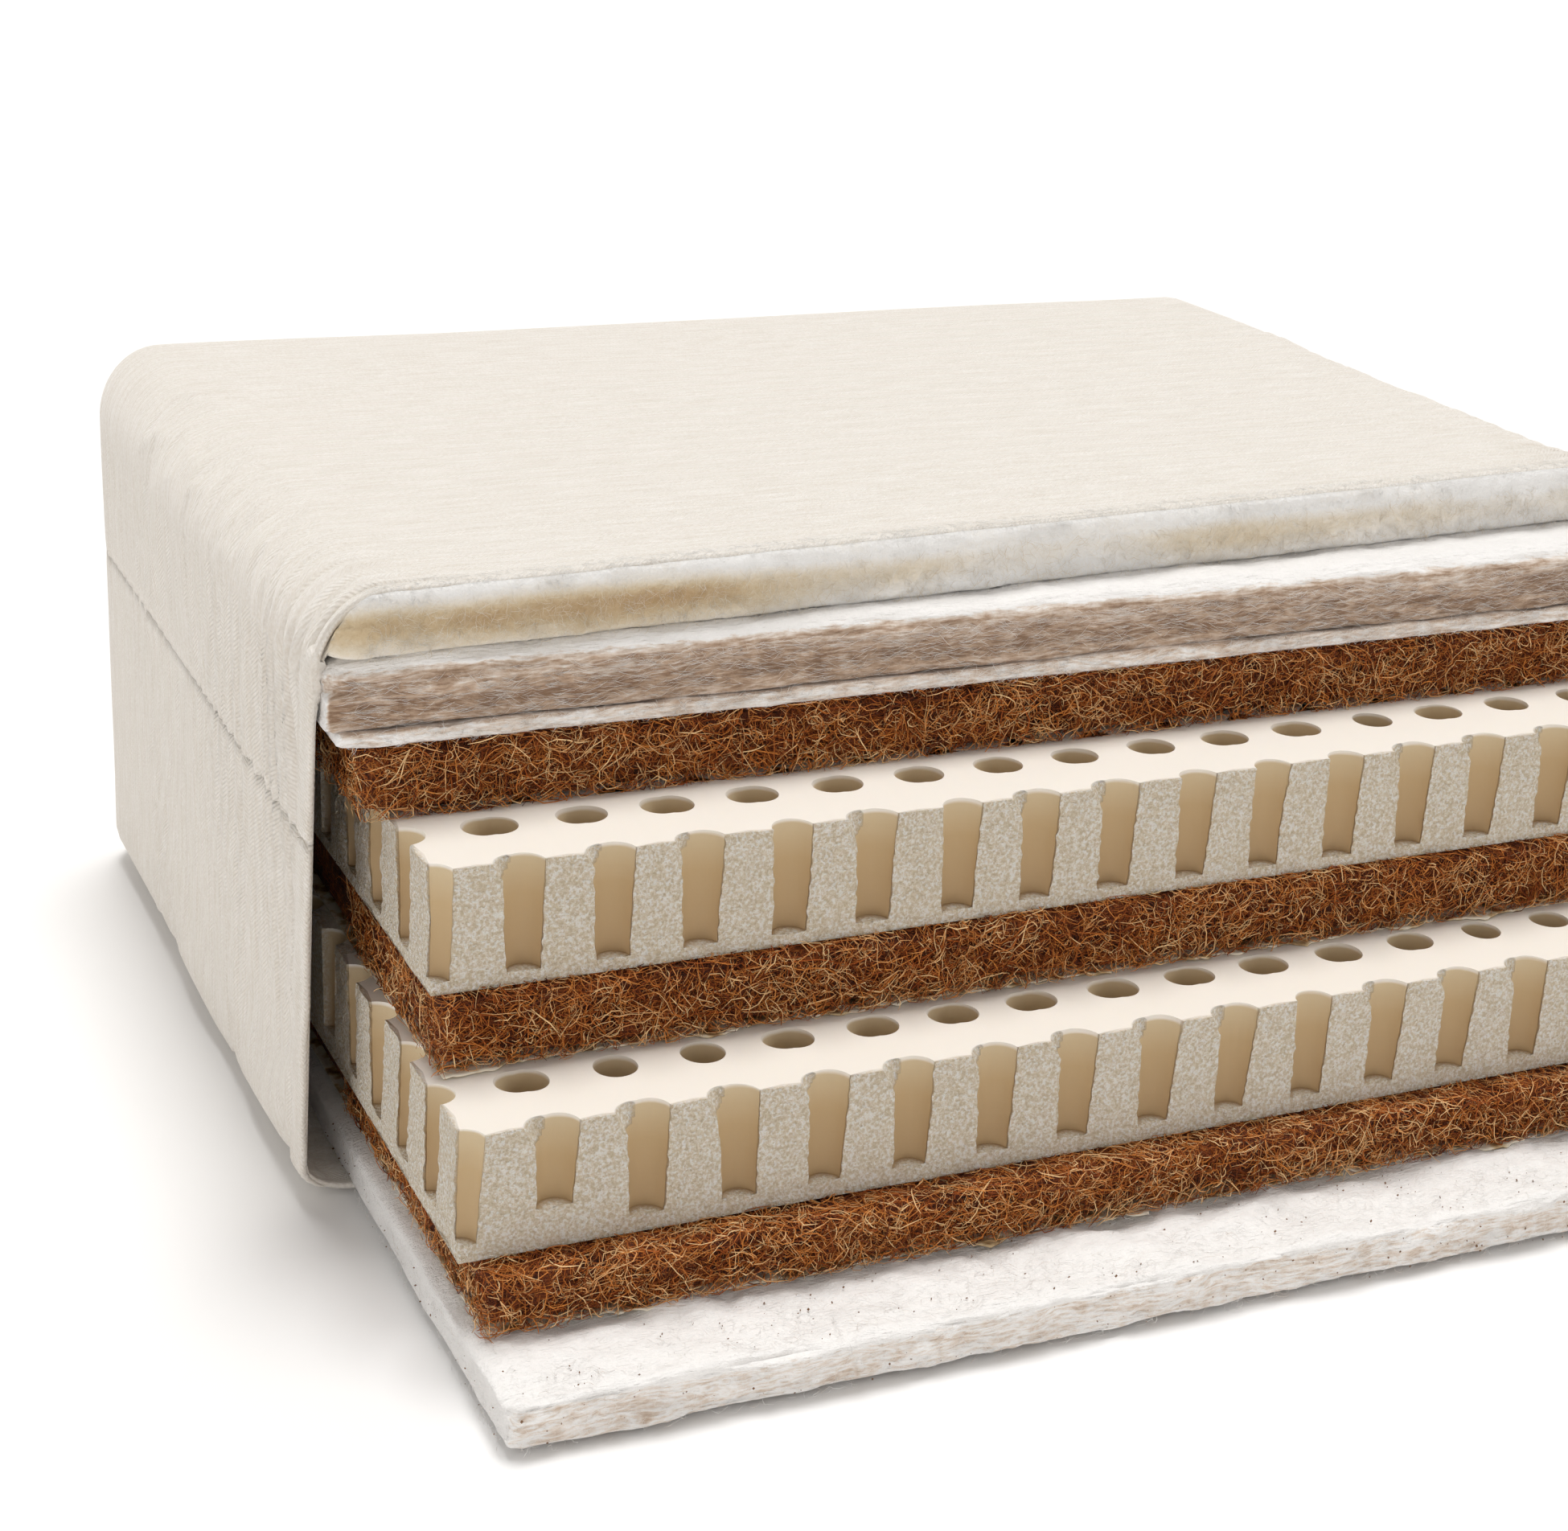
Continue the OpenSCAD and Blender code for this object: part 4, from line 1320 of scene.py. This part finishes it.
def latex_slab(node, floor, short_floor, seed, material):
    """A pin-core slab: cells round every hole, the cut faces, and a plain underside and back.
    Cut faces are crumbled by noise that fades within 1 mm, and the whole slab is warped in X by
    a slow noise, so that holes lean a little."""
    s = sizes()
    low, high = box_mm(node)
    pitch = s.pin_pitch / MM
    z0, z1, front, back = low[2], high[2], low[1], high[1]
    hole = PinHole(s.pin_top / MM, s.pin_foot / MM, z1)
    columns = int(round((high[0] - low[0]) / pitch)) + 1
    rows = int((back - front) // pitch) + 1
    if back - (front + (rows - 1) * pitch) < pitch / 2:
        rows -= 1
    xs = low[0] + np.arange(columns) * (high[0] - low[0]) / (columns - 1)
    ys = front + np.arange(rows) * pitch
    step = 0.95
    quarter = math.pi / 2
    floors = np.full(columns, z0 + floor)
    if short_floor:
        floors[1] = z0 + short_floor
    rng = np.random.default_rng(seed + 30)
    whole = rng.random((columns, rows)) < 0.2
    tears = np.where(whole, 0.0, 0.55 + 0.45 * rng.random((columns, rows)))
    skin = Skin()
    for i in range(columns):
        for j in range(rows):
            shown = ys[j] < front + 40 or (i in (0, columns - 1) and ys[j] < HIDDEN_Y)
            z_floor = floors[i] if j == 0 else z0 + floor
            span = {0: (-quarter, quarter), columns - 1: (quarter, 3 * quarter)}
            first, last = span.get(i, (-quarter, 3 * quarter))
            if j == 0:
                first, last = max(first, 0.0), min(last, math.pi)
            turns = 40 if shown else 12
            angles = np.linspace(first, last, int(round((last - first) / 2 / math.pi * turns)) + 1)
            finest = shown and (j == 0 or i in (0, columns - 1))
            wall_z = steps(z_floor, z1, step) if finest else np.concatenate([
                steps(z_floor, z1 - 8, 11.0), steps(z1 - 8, z1, 1.4)[1:]
            ]) if shown else np.array([z_floor, z1])
            pin_cell(
                skin, (xs[i], ys[j]), angles, pitch, hole, z_floor, wall_z, shown, tears[i, j]
            )
    cut_strip(skin, xs, floors, hole, z0,
              lambda u, z: np.stack([u, np.full(u.shape, front), z], -1), False, 1e9, step,
              tears[:, 0], True)
    side_floors = np.full(rows, z0 + floor)
    for x, flip in ((xs[0], True), (xs[-1], False)):
        cut_strip(skin, ys, side_floors, hole, z0,
                  lambda u, z: np.stack([np.full(u.shape, x), u, z], -1), flip, HIDDEN_Y, step,
                  np.zeros(rows), False)
    # Plain strips behind the last row, the back and the underside.
    rear = ys[-1] + pitch / 2
    edge = ys[-1] + hole.r_foot
    a, b = xs[0], xs[-1]
    for corners in (
        ((a, rear, z1), (b, rear, z1), (b, back, z1), (a, back, z1)),
        ((a, edge, z0), (a, edge, z1), (a, back, z1), (a, back, z0)),
        ((b, edge, z1), (b, edge, z0), (b, back, z0), (b, back, z1)),
        ((a, back, z0), (a, back, z1), (b, back, z1), (b, back, z0)),
        ((a, front, z0), (a, back, z0), (b, back, z0), (b, front, z0)),
    ):
        skin.add(np.array(corners, float), np.array([[0, 1, 2, 3]]))
    points, quads = weld(*skin.joined(), 0.01)
    moved, shade, depth = crumble(points, low, high, seed)
    shade = np.maximum(shade, hole.bare(points, xs, ys, z0, floor))
    obj = link_mesh(f"{node}_foam", moved, quads, shade=shade)
    below = obj.data.attributes.new("depth", "FLOAT", "POINT")
    below.data.foreach_set("value", depth.astype(np.float32))
    obj.data.set_sharp_from_angle(angle=math.radians(50))
    place(obj, node, material)


class BuildLatex(bpy.types.Operator):
    """The two pin-core latex slabs"""

    bl_idname = "mattress.build_latex"
    bl_label = "Latex slabs"

    def execute(self, context):
        material = latex_foam(looks())
        latex_slab("latex_upper", 4.1, None, SEED + 80, material)
        latex_slab("latex_lower", 5.9, 14.0, SEED + 90, material)
        return {"FINISHED"}


# --- Stage ---


def aimed(name, data, place_at, target):
    """Puts a light in the scene at a place, turned towards a target."""
    lamp = bpy.data.objects.new(name, data)
    lamp.location = place_at
    lamp.rotation_mode = "QUATERNION"
    lamp.rotation_quaternion = (Vector(target) - Vector(place_at)).to_track_quat("-Z", "Y")
    bpy.context.scene.collection.objects.link(lamp)


class SetStage(bpy.types.Operator):
    """Floor, soft light and camera"""

    bl_idname = "mattress.set_stage"
    bl_label = "Stage"

    def execute(self, context):
        scene = context.scene
        # A round cove: a level floor for 9 m all round, then a quarter circle and a wall.
        flat, bend, wall, drop = 9000.0, 3000.0, 7000.0, -1.0
        rise = np.linspace(0, math.pi / 2, 24)
        radius = np.concatenate([[1.0], flat + bend * np.sin(rise), [flat + bend]])
        height = np.concatenate([[0.0], bend * (1 - np.cos(rise)), [wall]]) + drop
        round_way = np.linspace(0, 2 * math.pi, 97)
        cove = np.stack(np.broadcast_arrays(
            radius[:, None] * np.cos(round_way),
            radius[:, None] * np.sin(round_way),
            height[:, None],
        ), -1)
        points, quads = weld(cove.reshape(-1, 3), grid_faces(len(radius), 97), 1.0)
        floor = link_mesh("floor", points, quads)
        floor.data.materials.append(painted_floor(looks()))

        world = bpy.data.worlds.new("White room")
        world.use_nodes = True
        background = world.node_tree.nodes["Background"]
        background.inputs[0].default_value = linear("#FFFDFA")
        background.inputs[1].default_value = 0.40
        scene.world = world

        # A wide soft box high over the block and a little behind it, as a sun with a broad disc.
        overhead = bpy.data.lights.new("Overhead softbox", "SUN")
        overhead.energy = 2.05
        overhead.angle = math.radians(24)
        aimed("Overhead softbox", overhead, (0.10, 0.22, 1.2), (0, 0, 0))
        # A strip light low on the left and in front. The cove's near wall stands in its way, so it
        # reaches the block only by way of the far wall, and brightens everything a little.
        strip = bpy.data.lights.new("Strip light", "SUN")
        strip.energy = 0.85
        strip.angle = math.radians(12)
        aimed("Strip light", strip, (-1.2, -0.85, 0.45), (0, 0, 0))

        data = bpy.data.cameras.new("Camera")
        data.sensor_width = 36.0
        data.lens = 65.55
        data.clip_start, data.clip_end = 0.02, 200.0
        camera = bpy.data.objects.new("Camera", data)
        scene.collection.objects.link(camera)
        azimuth, elevation, roll = map(math.radians, (-24.66, 21.26, 2.82))
        ahead = Vector((
            -math.sin(azimuth) * math.cos(elevation),
            math.cos(azimuth) * math.cos(elevation),
            -math.sin(elevation),
        ))
        camera.location = (-0.4724, -0.9151, 0.4959)
        camera.rotation_mode = "QUATERNION"
        camera.rotation_quaternion = (
            ahead.to_track_quat("-Z", "Y") @ Quaternion((0, 0, 1), roll)
        )
        scene.camera = camera
        scene.view_settings.view_transform = "Standard"
        scene.view_settings.look = "None"
        scene.view_settings.exposure = 0.0
        return {"FINISHED"}


class MattressPanel(bpy.types.Panel):
    """Lists the builders and their settings"""

    bl_idname = "VIEW3D_PT_mattress"
    bl_label = "Layered mattress"
    bl_space_type = "VIEW_3D"
    bl_region_type = "UI"
    bl_category = "Mattress"

    def draw(self, context):
        for operator in OPERATORS:
            self.layout.operator(operator.bl_idname)
        for group in (context.scene.mattress_sizes, context.scene.mattress_looks):
            for name in group.__annotations__:
                self.layout.prop(group, name)


OPERATORS = (BuildCover, BuildWool, BuildCotton, BuildCoir, BuildFilms, BuildLatex, SetStage)
CLASSES = (MattressLooks, MattressSizes, *OPERATORS, MattressPanel)


def register():
    for cls in CLASSES:
        bpy.utils.register_class(cls)
    bpy.types.Scene.mattress_looks = bpy.props.PointerProperty(type=MattressLooks)
    bpy.types.Scene.mattress_sizes = bpy.props.PointerProperty(type=MattressSizes)


def unregister():
    del bpy.types.Scene.mattress_sizes
    del bpy.types.Scene.mattress_looks
    for cls in reversed(CLASSES):
        bpy.utils.unregister_class(cls)


def main():
    register()
    bpy.ops.mattress.build_cover()
    bpy.ops.mattress.build_wool()
    bpy.ops.mattress.build_cotton()
    bpy.ops.mattress.build_coir()
    bpy.ops.mattress.build_films()
    bpy.ops.mattress.build_latex()
    bpy.ops.mattress.set_stage()


if __name__ == "__main__":
    main()
